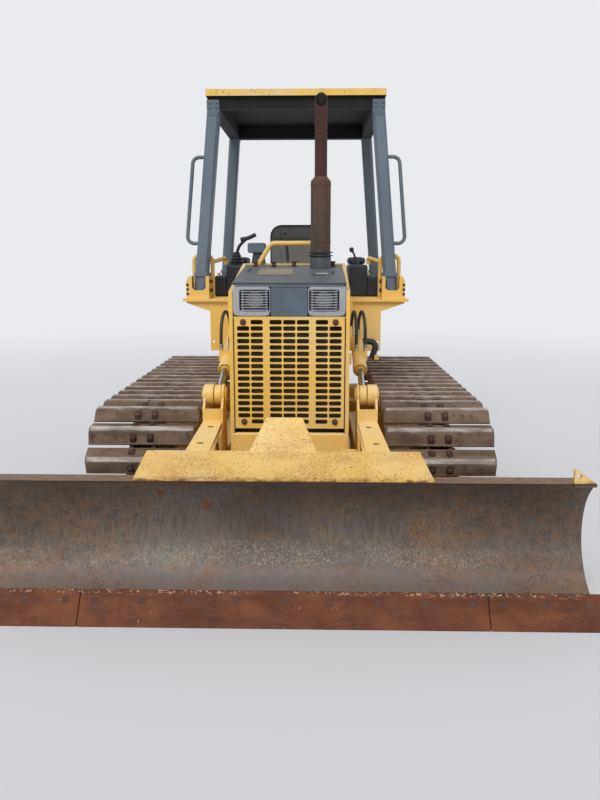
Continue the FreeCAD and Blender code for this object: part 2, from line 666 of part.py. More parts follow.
def main_frame():
    """The closed frame box with the two cross members that carry the track frames."""
    hull = prism(
        "frame_hull", "YZ", "-frame_half", "frame_half",
        (
            ("frame_front", "frame_top"),
            ("frame_front", "belly_z + nose_slope / 2"),
            ("frame_front + nose_slope", "belly_z"),
            ("frame_rear", "belly_z"),
            ("frame_rear", "frame_top"),
        ),
    )
    reach = "track_gauge / 2 - track_frame_width / 2"
    pieces = [hull]
    for word in ("front", "rear"):
        place = f"{word}_member_y"
        pieces.append(
            box(
                f"{word}_member", f"-({reach})", reach, f"{place} - member_half", f"{place} + member_half",
                "member_low", "member_high",
            )
        )
    # Pins that carry the C-frame, one on each side of the hull.
    for word, side in SIDES:
        pieces.append(
            side_bar(
                f"pivot_pin_{word}", side, "pivot_radius", "frame_half", "arm_x + arm_width / 2 + play",
                "pivot_y", "pivot_z",
            )
        )
    keep(fuse("main_frame", *pieces), "main_frame")


def transmission_case():
    """The closed case under the floor, down to the frame's top, with the final drives' arms."""
    case = box(
        "case_block", "-case_half", "case_half", "bay_rear + play", "case_rear", "frame_top",
        "floor_top - floor_plate",
    )
    reach = "track_gauge / 2 - hub_reach"
    shaft = bar("case_axle", "X", "hub_radius - 40", f"-({reach})", reach, "sprocket_y", AXLE_Z)
    below = box(
        "case_foot", "-case_half", "case_half", "frame_rear", "case_rear", "belly_z", "frame_top"
    )
    clear = box(
        "case_clear", "-frame_half", "frame_half", "frame_front", "frame_rear", "belly_z", "frame_top"
    )
    body = cut("case_body", fuse("case_all", case, shaft, below), clear)
    keep(body, "transmission_case")


def drawbar():
    """Two plates with a pin hole, on the case's rear face."""
    plates = []
    for label, low in (("lower", "drawbar_low"), ("upper", "drawbar_low + drawbar_plate + drawbar_throat")):
        plates.append(
            box(
                f"drawbar_{label}", "-drawbar_half", "drawbar_half", "case_rear", "drawbar_end", low,
                f"{low} + drawbar_plate",
            )
        )
    top = "drawbar_low + 2 * drawbar_plate + drawbar_throat"
    root = box(
        "drawbar_root", "-drawbar_half", "drawbar_half", "case_rear", "case_rear + 3 * drawbar_pin",
        "drawbar_low", top,
    )
    hole = bar(
        "drawbar_hole", "Z", "drawbar_pin", "drawbar_low - 1", f"{top} + 1", "0", "drawbar_end - drawbar_half"
    )
    keep(cut("drawbar", fuse("drawbar_plates", root, *plates), hole), "drawbar")


# Engine bay


HINGE_X = "guard_half + hinge_radius + hinge_gap"
HINGE_Y = "door_front + hinge_radius"


def hinge_part(name, side, low, high, start, end):
    """A knuckle round the door's hinge line with its leaf, which lies on the plate from start to end."""
    knuckle = bar(name + "_knuckle", "Z", "hinge_radius", low, high, f"{side} * ({HINGE_X})", HINGE_Y)
    leaf = side_box(
        name + "_leaf", side, "guard_half", "guard_half + hinge_radius / 2 + hinge_gap",
        f"{HINGE_Y} + {start}", f"{HINGE_Y} + {end}", low, high,
    )
    return fuse(name, knuckle, leaf)


def engine_bay_side(side, word):
    """A side plate of the engine bay with the opening for its door."""
    name = "hood_side_" + word
    plate = side_prism(
        name + "_plate", side, "guard_half - side_plate", "guard_half",
        (
            ("guard_front", "beam_top"),
            ("guard_front", "side_top_front"),
            ("side_top_y", "side_top_rear"),
            ("bay_rear", "side_top_rear"),
            ("bay_rear", "frame_top"),
            ("frame_front + beam_depth", "frame_top"),
            ("frame_front + beam_depth", "beam_top"),
        ),
    )
    opening = side_box(
        name + "_opening", side, "guard_half - side_plate - 1", "guard_half + 1",
        "door_front - door_gap", "door_rear + door_gap", "door_low - door_gap", "door_high + door_gap",
    )
    bracket = side_box(
        name + "_bracket", side, "guard_half", "lift_x - lift_barrel - play",
        "lift_base_y - boss_radius", "lift_base_y + boss_radius",
        "lift_base_z - boss_radius", "lift_base_z + boss_radius",
    )
    # The boss stays inside the eye's own radius, so the barrel turns past it. The pin goes through the eye.
    pin = side_bar(
        name + "_pin", side, "lift_rod", "lift_x - lift_barrel - play", "lift_x + lift_eye / 2 + play",
        "lift_base_y", "lift_base_z",
    )
    boss = side_bar(
        name + "_boss", side, "lift_start - play - 2", "lift_x - lift_barrel - play",
        "lift_x - lift_eye / 2 - 1", "lift_base_y", "lift_base_z",
    )
    hinges = []
    for label, low in (("low", "door_low"), ("high", "door_high - knuckle")):
        hinges.append(hinge_part(f"{name}_hinge_{label}", side, low, f"{low} + knuckle", "-hinge_leaf", "0"))
    keep(fuse(name, cut(name + "_holed", plate, opening), bracket, boss, pin, *hinges), name)


def engine_door(side, word):
    """A side door with rounded corners, hinged at its front edge, with a latch at the rear."""
    name = "engine_door_" + word
    leaf = side_prism(
        name + "_leaf", side, "guard_half - side_plate", "guard_half",
        (
            ("door_front", "door_low"),
            ("door_rear - door_corner", "door_low", "door_corner"),
            ("door_rear", "door_low + door_corner"),
            ("door_rear", "door_high - door_corner", "door_corner"),
            ("door_rear - door_corner", "door_high"),
            ("door_front", "door_high"),
        ),
    )
    latch = side_bar(
        name + "_latch", side, "latch_radius", "guard_half", "guard_half + latch_reach",
        "door_rear - 2 * latch_radius", "(door_low + door_high) / 2",
    )
    middle = "(door_low + door_high) / 2"
    hinge = hinge_part(
        name + "_hinge", side, f"{middle} - knuckle / 2", f"{middle} + knuckle / 2", "0", "hinge_leaf"
    )
    keep(fuse(name, leaf, latch, hinge), name)


def front_grille():
    """The front plate with its columns of slots in groups of two, three and two."""
    y, thick = size("guard_front"), size("grille_thickness")
    half = size("guard_half - side_plate - seat_gap")
    low, high = size("grille_low"), size("grille_high")
    plate = Part.makeBox(2 * half, thick, high - low, V(-half, y, low))
    wide, tall = size("slot_wide"), size("slot_tall")
    pitch, rows = size("slot_pitch"), int(size("slot_rows"))
    step, strip = size("slot_step"), size("slot_strip")
    lowest = size("slot_middle") - (rows - 1) * pitch / 2
    cutters = []
    # Column number from the middle, and how many group strips lie between it and the middle.
    for column, strips in ((-3, -1), (-2, -1), (-1, 0), (0, 0), (1, 0), (2, 1), (3, 1)):
        x = column * step + strips * strip
        short = 1 if abs(column) == 3 else 0
        for row in range(short, rows - short):
            z = lowest + row * pitch
            cutters.append(Part.makeBox(wide, thick + 2, tall, V(x - wide / 2, y - 1, z - tall / 2)))
    keep(made("front_grille", plate.cut(Part.makeCompound(cutters))), "front_grille")


def lamp_panel():
    """The panel over the grille with louvre slots in front of the lamps, and the lamps behind them."""
    y, thick = size("guard_front"), size("grille_thickness")
    half = size("guard_half - side_plate - seat_gap")
    low, high = size("grille_high"), size("lamp_high")
    plate = Part.makeBox(2 * half, thick, high - low, V(-half, y, low))
    inner, outer = size("lamp_inner"), size("lamp_outer")
    bottom, top = size("lamp_low + lamp_margin"), size("lamp_high - lamp_margin")
    count, tall = int(size("lamp_slots")), size("lamp_slot_tall")
    step = (top - bottom - tall) / (count - 1)
    cutters = []
    for side in (1, -1):
        x = inner if side > 0 else -outer
        for number in range(count):
            cutters.append(Part.makeBox(outer - inner, thick + 2, tall, V(x, y - 1, bottom + number * step)))
    keep(made("lamp_panel", plate.cut(Part.makeCompound(cutters))), "lamp_panel")
    lamps = []
    for word, side in SIDES:
        lamps.append(
            side_box(
                f"lamp_{word}", side, "lamp_inner", "lamp_outer", "guard_front + grille_thickness",
                "guard_front + grille_thickness + lamp_depth", "lamp_low + lamp_margin",
                "lamp_high - lamp_margin",
            )
        )
    keep(group("headlamps", *lamps), "headlamps")


def engine_bay():
    half = "guard_half - side_plate"
    beam = box(
        "guard_beam_front", "-guard_half", "guard_half", "guard_front", "frame_front", "frame_top",
        "beam_top",
    )
    foot = box(
        "guard_beam_foot", "-guard_half", "guard_half", "frame_front", "frame_front + beam_depth",
        "frame_top", "beam_top",
    )
    keep(fuse("guard_lower_beam", beam, foot), "guard_lower_beam")
    keep(
        box(
            "radiator_core", f"-({half} - core_gap)", f"{half} - core_gap",
            "guard_front + grille_thickness + lamp_depth + play",
            "guard_front + grille_thickness + lamp_depth + play + core_thickness", "beam_top",
            "lamp_high - core_drop",
        ),
        "radiator_core",
    )
    keep(
        box(
            "engine_block", "-engine_half", "engine_half", "engine_front", "engine_rear", "frame_top",
            "engine_top",
        ),
        "engine_block",
    )
    slope = "(hood_rear_z - hood_front_z) / (side_top_y - guard_front)"
    sheet_half = f"({half}) - seat_gap"
    skin = prism(
        "hood_skin", "YZ", f"-({sheet_half})", sheet_half,
        (
            ("guard_front", "lamp_high"),
            ("guard_front", "hood_front_z"),
            ("side_top_y", "hood_rear_z"),
            ("side_top_y", "hood_rear_z - hood_plate"),
            ("guard_front + 2 * hood_plate", f"hood_front_z - hood_plate + 2 * hood_plate * {slope}"),
            ("guard_front + 2 * hood_plate", "lamp_high"),
        ),
    )
    hole = bar(
        "hood_hole", "Z", "elbow_radius + seat_gap", "hood_front_z - 100", "hood_rear_z + 10", "muffler_x",
        "muffler_y",
    )
    keep(cut("hood", skin, hole), "hood")
    keep(
        box(
            "cowl", f"-({sheet_half})", sheet_half, "side_top_y + seat_gap", "bay_rear", "frame_top",
            "cowl_top",
        ),
        "cowl",
    )
    keep(
        box(
            "hood_rear_rail", f"-({sheet_half})", sheet_half, "side_top_y + seat_gap",
            "side_top_y + seat_gap + rear_rail_deep", "cowl_top", "cowl_top + rear_rail_tall",
        ),
        "hood_rear_rail",
    )
    keep(
        box(
            "instrument_pod", "pod_x - pod_half", "pod_x + pod_half", "bay_rear - 2 * pod_half", "bay_rear",
            "cowl_top", "pod_top",
        ),
        "instrument_pod",
    )
    doc.recompute()
    y = size("grab_y")
    rise = (y - size("guard_front")) * size(slope)
    foot_z = size("hood_front_z") + rise
    base, top = size("grab_base"), size("grab_top")
    high = foot_z + size("grab_rise")
    route = [V(-base, y, foot_z), V(-top, y, high), V(top, y, high), V(base, y, foot_z)]
    rail = tube(route, size("tube_radius"), size("rail_bend"))
    keep(made("hood_grab_rail", rail.cut(doc.getObject("hood").Shape)), "hood_grab_rail")


def exhaust():
    """The elbow and muffler, and the pipe with its slanted end."""
    place = ("muffler_x", "muffler_y")
    elbow = bar("muffler_elbow", "Z", "elbow_radius", "engine_top", "muffler_low", *place)
    shell = bar("muffler_shell", "Z", "muffler_radius", "muffler_low", "muffler_high", *place)
    cone = doc.addObject("Part::Cone", "muffler_shoulder")
    for label, text in (
        ("Radius1", "muffler_radius"),
        ("Radius2", "pipe_radius"),
        ("Height", "shoulder"),
        ("Placement.Base.x", "muffler_x"),
        ("Placement.Base.y", "muffler_y"),
        ("Placement.Base.z", "muffler_high"),
    ):
        cone.setExpression(label, tied(text))
    keep(fuse("muffler", elbow, shell, cone), "muffler")
    pipe = bar("pipe_full", "Z", "pipe_radius", "muffler_high + shoulder", "pipe_top", *place)
    wedge = prism(
        "pipe_wedge", "YZ", "muffler_x - 2 * pipe_radius", "muffler_x + 2 * pipe_radius",
        (
            ("muffler_y - pipe_radius - 1", "pipe_top - pipe_slant"),
            ("muffler_y + pipe_radius", "pipe_top"),
            ("muffler_y + pipe_radius", "pipe_top + 1"),
            ("muffler_y - pipe_radius - 1", "pipe_top + 1"),
        ),
    )
    bore_low = "pipe_top - 3 * pipe_slant"
    bore = bar("pipe_bore", "Z", "pipe_radius - pipe_wall", bore_low, "pipe_top + 1", *place)
    keep(cut("exhaust_pipe", pipe, wedge, bore), "exhaust_pipe")


# Operator's place


def fender(side, word):
    """Deck plate, flanges, inner wall, front support and the two post sockets of one side."""
    name = "fender_" + word
    pieces = [
        side_box(
            name + "_plate", side, "deck_inner", "deck_half", "deck_front", "deck_rear",
            "deck_top - deck_plate", "deck_top",
        ),
        # The side flange stands back under the deck's edge.
        side_box(
            name + "_flange", side, "deck_half - lip - wall", "deck_half - lip", "deck_front + lip",
            "deck_rear", "flange_low", "deck_top",
        ),
        side_box(
            name + "_inner", side, "deck_inner - wall", "deck_inner", "deck_front", "deck_rear",
            "floor_top - floor_plate", "deck_top",
        ),
    ]
    signed = (lambda text: f"{side} * ({text})")
    # The front web gets deeper towards the machine's middle and runs down into the front support.
    web = prism(
        name + "_web", "XZ", "deck_front + lip", "deck_front + lip + wall",
        (
            (signed("deck_inner - wall"), "deck_top - deck_plate / 2"),
            (signed("deck_inner - wall"), "support_low"),
            (signed("support_edge"), "support_low"),
            (signed("support_edge"), "web_low"),
            (signed("deck_half - lip"), "flange_low"),
            (signed("deck_half - lip"), "deck_top - deck_plate / 2"),
        ),
    )
    hole = bar(
        name + "_support_hole", "Y", "support_hole", "deck_front + lip - 1", "deck_front + lip + wall + 1",
        signed("support_edge - support_hole_in"), "support_low + support_hole_up",
    )
    pieces.append(cut(name + "_holed_web", web, hole))
    # A post's socket: a cheek on each side, and in front of the front post a plate with a slot.
    inner_side = "post_foot_x - post_wide / 2 - socket_side"
    outer_side = "post_foot_x + post_wide / 2 + socket_side"
    for place in ("front_post_foot", "rear_post_foot"):
        front = f"{place} - post_deep / 2 - socket_end"
        for label, low, high in (
            ("inner", f"{inner_side} - cheek_thickness", inner_side),
            ("outer", outer_side, f"{outer_side} + cheek_thickness"),
        ):
            pieces.append(
                side_box(
                    f"{name}_{place}_{label}", side, low, high, front,
                    f"{place} + post_deep / 2 + socket_end", "deck_top", "cheek_top",
                )
            )
    front = "front_post_foot - post_deep / 2 - socket_end"
    slot_inner = "post_foot_x - post_wide / 2 - socket_slot"
    slot_outer = "post_foot_x + post_wide / 2 + socket_slot"
    near = f"{inner_side} - cheek_thickness"
    far = f"{outer_side} + cheek_thickness + socket_flange"
    pieces.append(
        prism(
            name + "_socket_plate", "XZ", f"{front} - cheek_thickness", front,
            (
                (signed(near), "deck_top"),
                (signed(far), "deck_top"),
                (signed(far), "cheek_top - 2 * socket_corner"),
                (signed(f"{far} - socket_corner"), "cheek_top"),
                (signed(slot_outer), "cheek_top"),
                (signed(slot_outer), "deck_top + socket_sill + socket_corner"),
                (signed(f"{slot_outer} - socket_corner"), "deck_top + socket_sill"),
                (signed(f"{slot_inner} + socket_corner"), "deck_top + socket_sill"),
                (signed(slot_inner), "deck_top + socket_sill + socket_corner"),
                (signed(slot_inner), "cheek_top"),
                (signed(near), "cheek_top"),
            ),
        )
    )
    keep(fuse(name, *pieces), name)


def post_section(x, y, z, grow=0):
    """A chamfered rectangle, centred on this point and larger by grow on every side."""
    wide, deep, chamfer = size("post_wide / 2") + grow, size("post_deep / 2") + grow, size("post_chamfer")
    corners = []
    for sx, sy, first in ((1, -1, "x"), (1, 1, "y"), (-1, 1, "x"), (-1, -1, "y")):
        along = V(x + sx * wide, y + sy * (deep - chamfer), z)
        across = V(x + sx * (wide - chamfer), y + sy * deep, z)
        pair = [along, across]
        corners += pair[::-1] if first == "x" else pair
    return Part.makePolygon(corners + corners[:1])


def canopy_post(side, word, end):
    """A leaning post from the fender to the roof's beams. The front ones carry a handle."""
    name = f"{end}_post_{word}"
    foot = (side * size("post_foot_x"), size(f"{end}_post_foot"), size("deck_top"))
    head = (side * size("post_top_x"), size(f"{end}_post_top"), size("roof_top - roof_rim - beam_drop"))
    post = Part.makeLoft([post_section(*foot), post_section(*head)], True, True)
    slope_x = (head[0] - foot[0]) / (head[2] - foot[2])
    slope_y = (head[1] - foot[1]) / (head[2] - foot[2])

    def middle(z):
        """The post's middle at that height."""
        return foot[0] + slope_x * (z - foot[2]), foot[1] + slope_y * (z - foot[2]), z

    collar_low = size("cheek_top")
    grow = size("collar_grow")
    rings = [post_section(*middle(z), grow) for z in (collar_low, collar_low + size("collar_tall"))]
    post = post.fuse(Part.makeLoft(rings, True, True))
    if end == "front":
        out = side * size("handle_reach")
        handle_high = size("roof_top - handle_drop")
        ends = []
        for z in (handle_high - size("handle_length"), handle_high):
            x, y, _ = middle(z)
            ends.append((V(x, y, z), V(x + out, y, z)))
        route = [ends[0][0], ends[0][1], ends[1][1], ends[1][0]]
        post = post.fuse(tube(route, size("handle_radius"), size("rail_bend")))
    keep(made(name, post), name)


def canopy_roof():
    """The roof's plate and rim, with beams round its underside that stand on the posts."""
    rim_low = "roof_top - roof_rim"
    plate = box(
        "roof_plate", "-roof_half", "roof_half", "roof_front", "roof_rear", "roof_top - roof_skin", "roof_top"
    )
    outside = box("roof_outside", "-roof_half", "roof_half", "roof_front", "roof_rear", rim_low, "roof_top")
    inside = box(
        "roof_inside", "-roof_half + roof_skin", "roof_half - roof_skin", "roof_front + roof_skin",
        "roof_rear - roof_skin", f"{rim_low} - 1", "roof_top - roof_skin",
    )
    rim = cut("roof_rim_ring", outside, inside)
    low, high = f"{rim_low} - beam_drop", "roof_top - roof_skin"
    beams = []
    for word, side in SIDES:
        beams.append(
            side_box(
                f"roof_beam_{word}", side, "post_top_x - beam_wide / 2", "post_top_x + beam_wide / 2",
                "front_post_top - beam_wide / 2", "rear_post_top + beam_wide / 2", low, high,
            )
        )
    for place in ("front_post_top", "rear_post_top"):
        beams.append(
            box(
                f"roof_beam_{place}", "-post_top_x", "post_top_x", f"{place} - beam_wide / 2",
                f"{place} + beam_wide / 2", low, high,
            )
        )
    keep(fuse("canopy_roof", plate, rim, *beams), "canopy_roof")


def deck_rail(side, word):
    """A hoop behind the front post, with a slanted stay that stands on the console."""
    name = "deck_rail_" + word
    inner, outer = side * size("rail_inner"), side * size("rail_outer")
    y, low, high = size("rail_y"), size("deck_top"), size("rail_top")
    radius, bend = size("tube_radius"), size("rail_bend")
    hoop = tube([V(inner, y, low), V(inner, y, high), V(outer, y, high), V(outer, y, low)], radius, bend)
    corner = V(inner, y, high - bend)
    foot = V(side * size("stay_x"), size("stay_y"), size("console_top"))
    knee = foot.add(V(0, 0, size("stay_rise")))
    stay = tube([corner, knee, foot], radius, size("stay_bend"))
    keep(made(name, hoop.fuse(stay)), name)


def operator_place():
    keep(
        box(
            "floor_plate", "-(deck_inner - wall)", "deck_inner - wall", "bay_rear + play", "tank_rear",
            "floor_top - floor_plate", "floor_top",
        ),
        "floor_plate",
    )
    for word, side in SIDES:
        name = "console_" + word
        desk = side_box(
            name + "_desk", side, "console_inner", "console_outer", "console_front", "console_rear",
            "deck_top", "console_top",
        )
        stick = bar(
            name + "_stick", "Z", "stick_radius", "console_top", "stick_top", f"{side} * stick_x", "stick_y"
        )
        keep(fuse(name, desk, stick), name)
    keep(
        box(
            "seat_base", "-seat_half + base_inset", "seat_half - base_inset", "seat_front + base_front",
            "seat_y", "floor_top", "seat_low",
        ),
        "seat_base",
    )
    keep(
        box(
            "seat_cushion", "-seat_half", "seat_half", "seat_front", "seat_y", "seat_low + seat_gap",
            "seat_low + cushion",
        ),
        "seat_cushion",
    )
    keep(
        prism(
            "seat_back", "XZ", "seat_y + seat_gap", "seat_y + seat_back_thickness",
            (
                ("-seat_half", "seat_low"),
                ("seat_half", "seat_low"),
                ("seat_half", "seat_top - seat_round", "seat_round"),
                ("seat_half - seat_round", "seat_top"),
                ("-seat_half + seat_round", "seat_top", "seat_round"),
                ("-seat_half", "seat_top - seat_round"),
            ),
        ),
        "seat_back",
    )
    keep(
        box(
            "fuel_tank", "-(deck_inner - wall - seat_gap)", "deck_inner - wall - seat_gap", "tank_front",
            "tank_rear", "floor_top", "tank_top",
        ),
        "fuel_tank",
    )


# C-frame, blade carrier and blade


def c_frame():
    """Two arms from their rear pivots, the front cross beam and the nose that holds the centre pin."""
    pieces = []
    tools = []
    for word, side in SIDES:
        inner, outer = "arm_x - arm_width / 2", "arm_x + arm_width / 2"
        pieces.append(
            side_prism(
                f"arm_{word}", side, inner, outer,
                (
                    ("pivot_y + arm_height / 2", "pivot_z - arm_height / 2"),
                    ("pivot_y + arm_height / 2", "pivot_z + arm_height / 2"),
                    ("lift_pin_y + 2 * boss_radius", "arm_front_high"),
                    ("cross_front", "arm_front_high"),
                    ("cross_front", "arm_front_low"),
                    ("lift_pin_y + 2 * boss_radius", "arm_front_low"),
                ),
            )
        )
        low, high = (inner, outer) if side > 0 else (f"-({outer})", f"-({inner})")
        tools.append(
            bar(
                f"arm_bore_{word}", "X", "pivot_radius + pin_clearance", f"{low} - 1", f"{high} + 1",
                "pivot_y", "pivot_z",
            )
        )
        # The lift bracket: two cheeks with a boss each, a plate across their front and a collar that fills
        # the room beside the rod's eye. The angle cylinder passes between the cheeks, below the plate.
        inner_face = "cheek_x - cheek_half + cheek_plate"
        outer_face = "cheek_x + cheek_half - cheek_plate"
        for label, near, far in (
            ("inner", "cheek_x - cheek_half", inner_face),
            ("outer", outer_face, "cheek_x + cheek_half"),
        ):
            pieces.append(
                side_prism(
                    f"cheek_{label}_{word}", side, near, far,
                    (
                        ("lift_pin_y + 2 * boss_radius", "arm_front_high - arm_width / 2"),
                        ("lift_pin_y + boss_radius", "lift_pin_z"),
                        ("lift_pin_y - boss_radius", "lift_pin_z"),
                        ("bracket_plate_y", "bracket_plate_high"),
                        ("bracket_plate_y", "bracket_plate_low"),
                        ("-cheek_nose", "bracket_plate_low - bracket_plate"),
                        ("-cheek_nose", "arm_front_high - arm_width / 2"),
                    ),
                )
            )
            pieces.append(
                side_bar(f"boss_{label}_{word}", side, "boss_radius", near, far, "lift_pin_y", "lift_pin_z")
            )
        pieces.append(
            side_box(
                f"bracket_plate_{word}", side, inner_face, outer_face, "bracket_plate_y",
                "bracket_plate_y + bracket_plate", "bracket_plate_low - bracket_plate / 2",
                "bracket_plate_high",
            )
        )
        pieces.append(
            side_bar(
                f"pin_collar_{word}", side, "boss_radius - 4", "lift_x + lift_eye / 2 + play", outer_face,
                "lift_pin_y", "lift_pin_z",
            )
        )
        # The sloping guard over the angle cylinder.
        pieces.append(
            side_prism(
                f"cylinder_guard_{word}", side, inner, outer,
                (
                    ("bracket_plate_y + bracket_plate", "bracket_plate_low - bracket_plate"),
                    ("bracket_plate_y + bracket_plate", "bracket_plate_low"),
                    ("guard_plate_front", "guard_plate_low + bracket_plate"),
                    ("guard_plate_front", "guard_plate_low"),
                ),
            )
        )
        # The angle cylinder's rear pin stands on the arm.
        pieces.append(
            bar(
                f"angle_pin_{word}", "Z", "angle_rod", "arm_front_high", "lug_z + eye_width / 2 + play",
                f"{side} * angle_base_x", "angle_base_y",
            )
        )
    pieces.append(
        box(
            "cross_beam", "-(arm_x + arm_width / 2)", "arm_x + arm_width / 2", "cross_front",
            "cross_front + cross_depth", "arm_front_low", "arm_front_high - 20",
        )
    )
    pieces.append(
        prism(
            "nose_neck", "XY", "ball_low", "ball_high",
            (
                ("-nose_radius * 2.6", "cross_front"),
                ("-nose_radius * 0.8", "ball_y"),
                ("nose_radius * 0.8", "ball_y"),
                ("nose_radius * 2.6", "cross_front"),
                ("nose_radius * 2.6", "cross_front + cross_depth"),
                ("-nose_radius * 2.6", "cross_front + cross_depth"),
            ),
        )
    )
    pieces.append(bar("nose_ring", "Z", "nose_radius", "ball_low", "ball_high", "0", "ball_y"))
    tools.append(
        bar("nose_bore", "Z", "king_radius + pin_clearance", "ball_low - 1", "ball_high + 1", "0", "ball_y")
    )
    keep(cut("c_frame", fuse("c_frame_weldment", *pieces), *tools), "c_frame")


def blade_carrier():
    """The fork round the nose with its centre pin, the tilt pin and the lugs for the cylinders."""
    pieces = []
    fork_low = "ball_low - play - fork_plate"
    fork_high = "ball_high + play + fork_plate"
    for label, low in (("lower", fork_low), ("upper", "ball_high + play")):
        pieces.append(
            box(
                f"fork_{label}", "-1.3 * nose_radius", "1.3 * nose_radius", "carrier_front", "ball_y", low,
                f"{low} + fork_plate",
            )
        )
        pieces.append(
            bar(f"fork_end_{label}", "Z", "1.3 * nose_radius", low, f"{low} + fork_plate", "0", "ball_y")
        )
    pieces.append(bar("king_pin", "Z", "king_radius", fork_low, fork_high, "0", "ball_y"))
    shelf_low = "lug_z - eye_width / 2 - play - lug_plate"
    shelf_high = "lug_z + eye_width / 2 + play + lug_plate"
    web_rear = "carrier_front + carrier_web"
    pieces.append(
        box("carrier_web_plate", "-1.6 * nose_radius", "1.6 * nose_radius", "carrier_front", web_rear,
            fork_low, shelf_high)
    )
    reach = "angle_pin_x + lug_side"
    for label, low in (("lower", shelf_low), ("upper", f"{shelf_high} - lug_plate")):
        pieces.append(
            box(
                f"shelf_{label}", f"-({reach})", reach, "carrier_front", "angle_pin_y + lug_end", low,
                f"{low} + lug_plate",
            )
        )
    # The tilt cylinder's bracket stands on the upper shelf.
    eye = "eye_width / 2"
    for label, low in (
        ("front", f"tilt_y - {eye} - play / 2 - tilt_bracket"), ("rear", f"tilt_y + {eye} + play / 2"),
    ):
        pieces.append(
            box(
                f"tilt_bracket_{label}", "tilt_base_x - tilt_bracket_half", "tilt_base_x + tilt_bracket_half",
                low, f"{low} + tilt_bracket", shelf_high, "tilt_z + tilt_bracket_half",
            )
        )
    pieces.append(
        bar("tilt_base_pin", "Y", "tilt_rod", f"tilt_y - {eye} - 5", f"tilt_y + {eye} + 5", "tilt_base_x",
            "tilt_z")
    )
    pieces.append(
        bar(
            "tilt_pin", "Y", "trunnion_radius", "blade_back - 12", "carrier_front + 1", "0", "trunnion_z"
        )
    )
    keep(fuse("blade_carrier", *pieces), "blade_carrier")


MOLD_CHORD = "sqrt((blade_top_y - blade_foot_y) ^ 2 + (blade_top_z - blade_foot_z) ^ 2)"
MOLD_DEPTH = f"sqrt(mold_radius ^ 2 - {MOLD_CHORD} ^ 2 / 4)"
MOLD_Y = f"((blade_top_y + blade_foot_y) / 2 - (blade_top_z - blade_foot_z) / {MOLD_CHORD} * {MOLD_DEPTH})"
MOLD_Z = f"((blade_top_z + blade_foot_z) / 2 + (blade_top_y - blade_foot_y) / {MOLD_CHORD} * {MOLD_DEPTH})"


def behind_mold(z):
    """Y of a point in the rear part of the moldboard's plate at this height."""
    return f"({MOLD_Y} + sqrt((mold_radius + 0.8 * mold_plate) ^ 2 - (({z}) - {MOLD_Z}) ^ 2))"


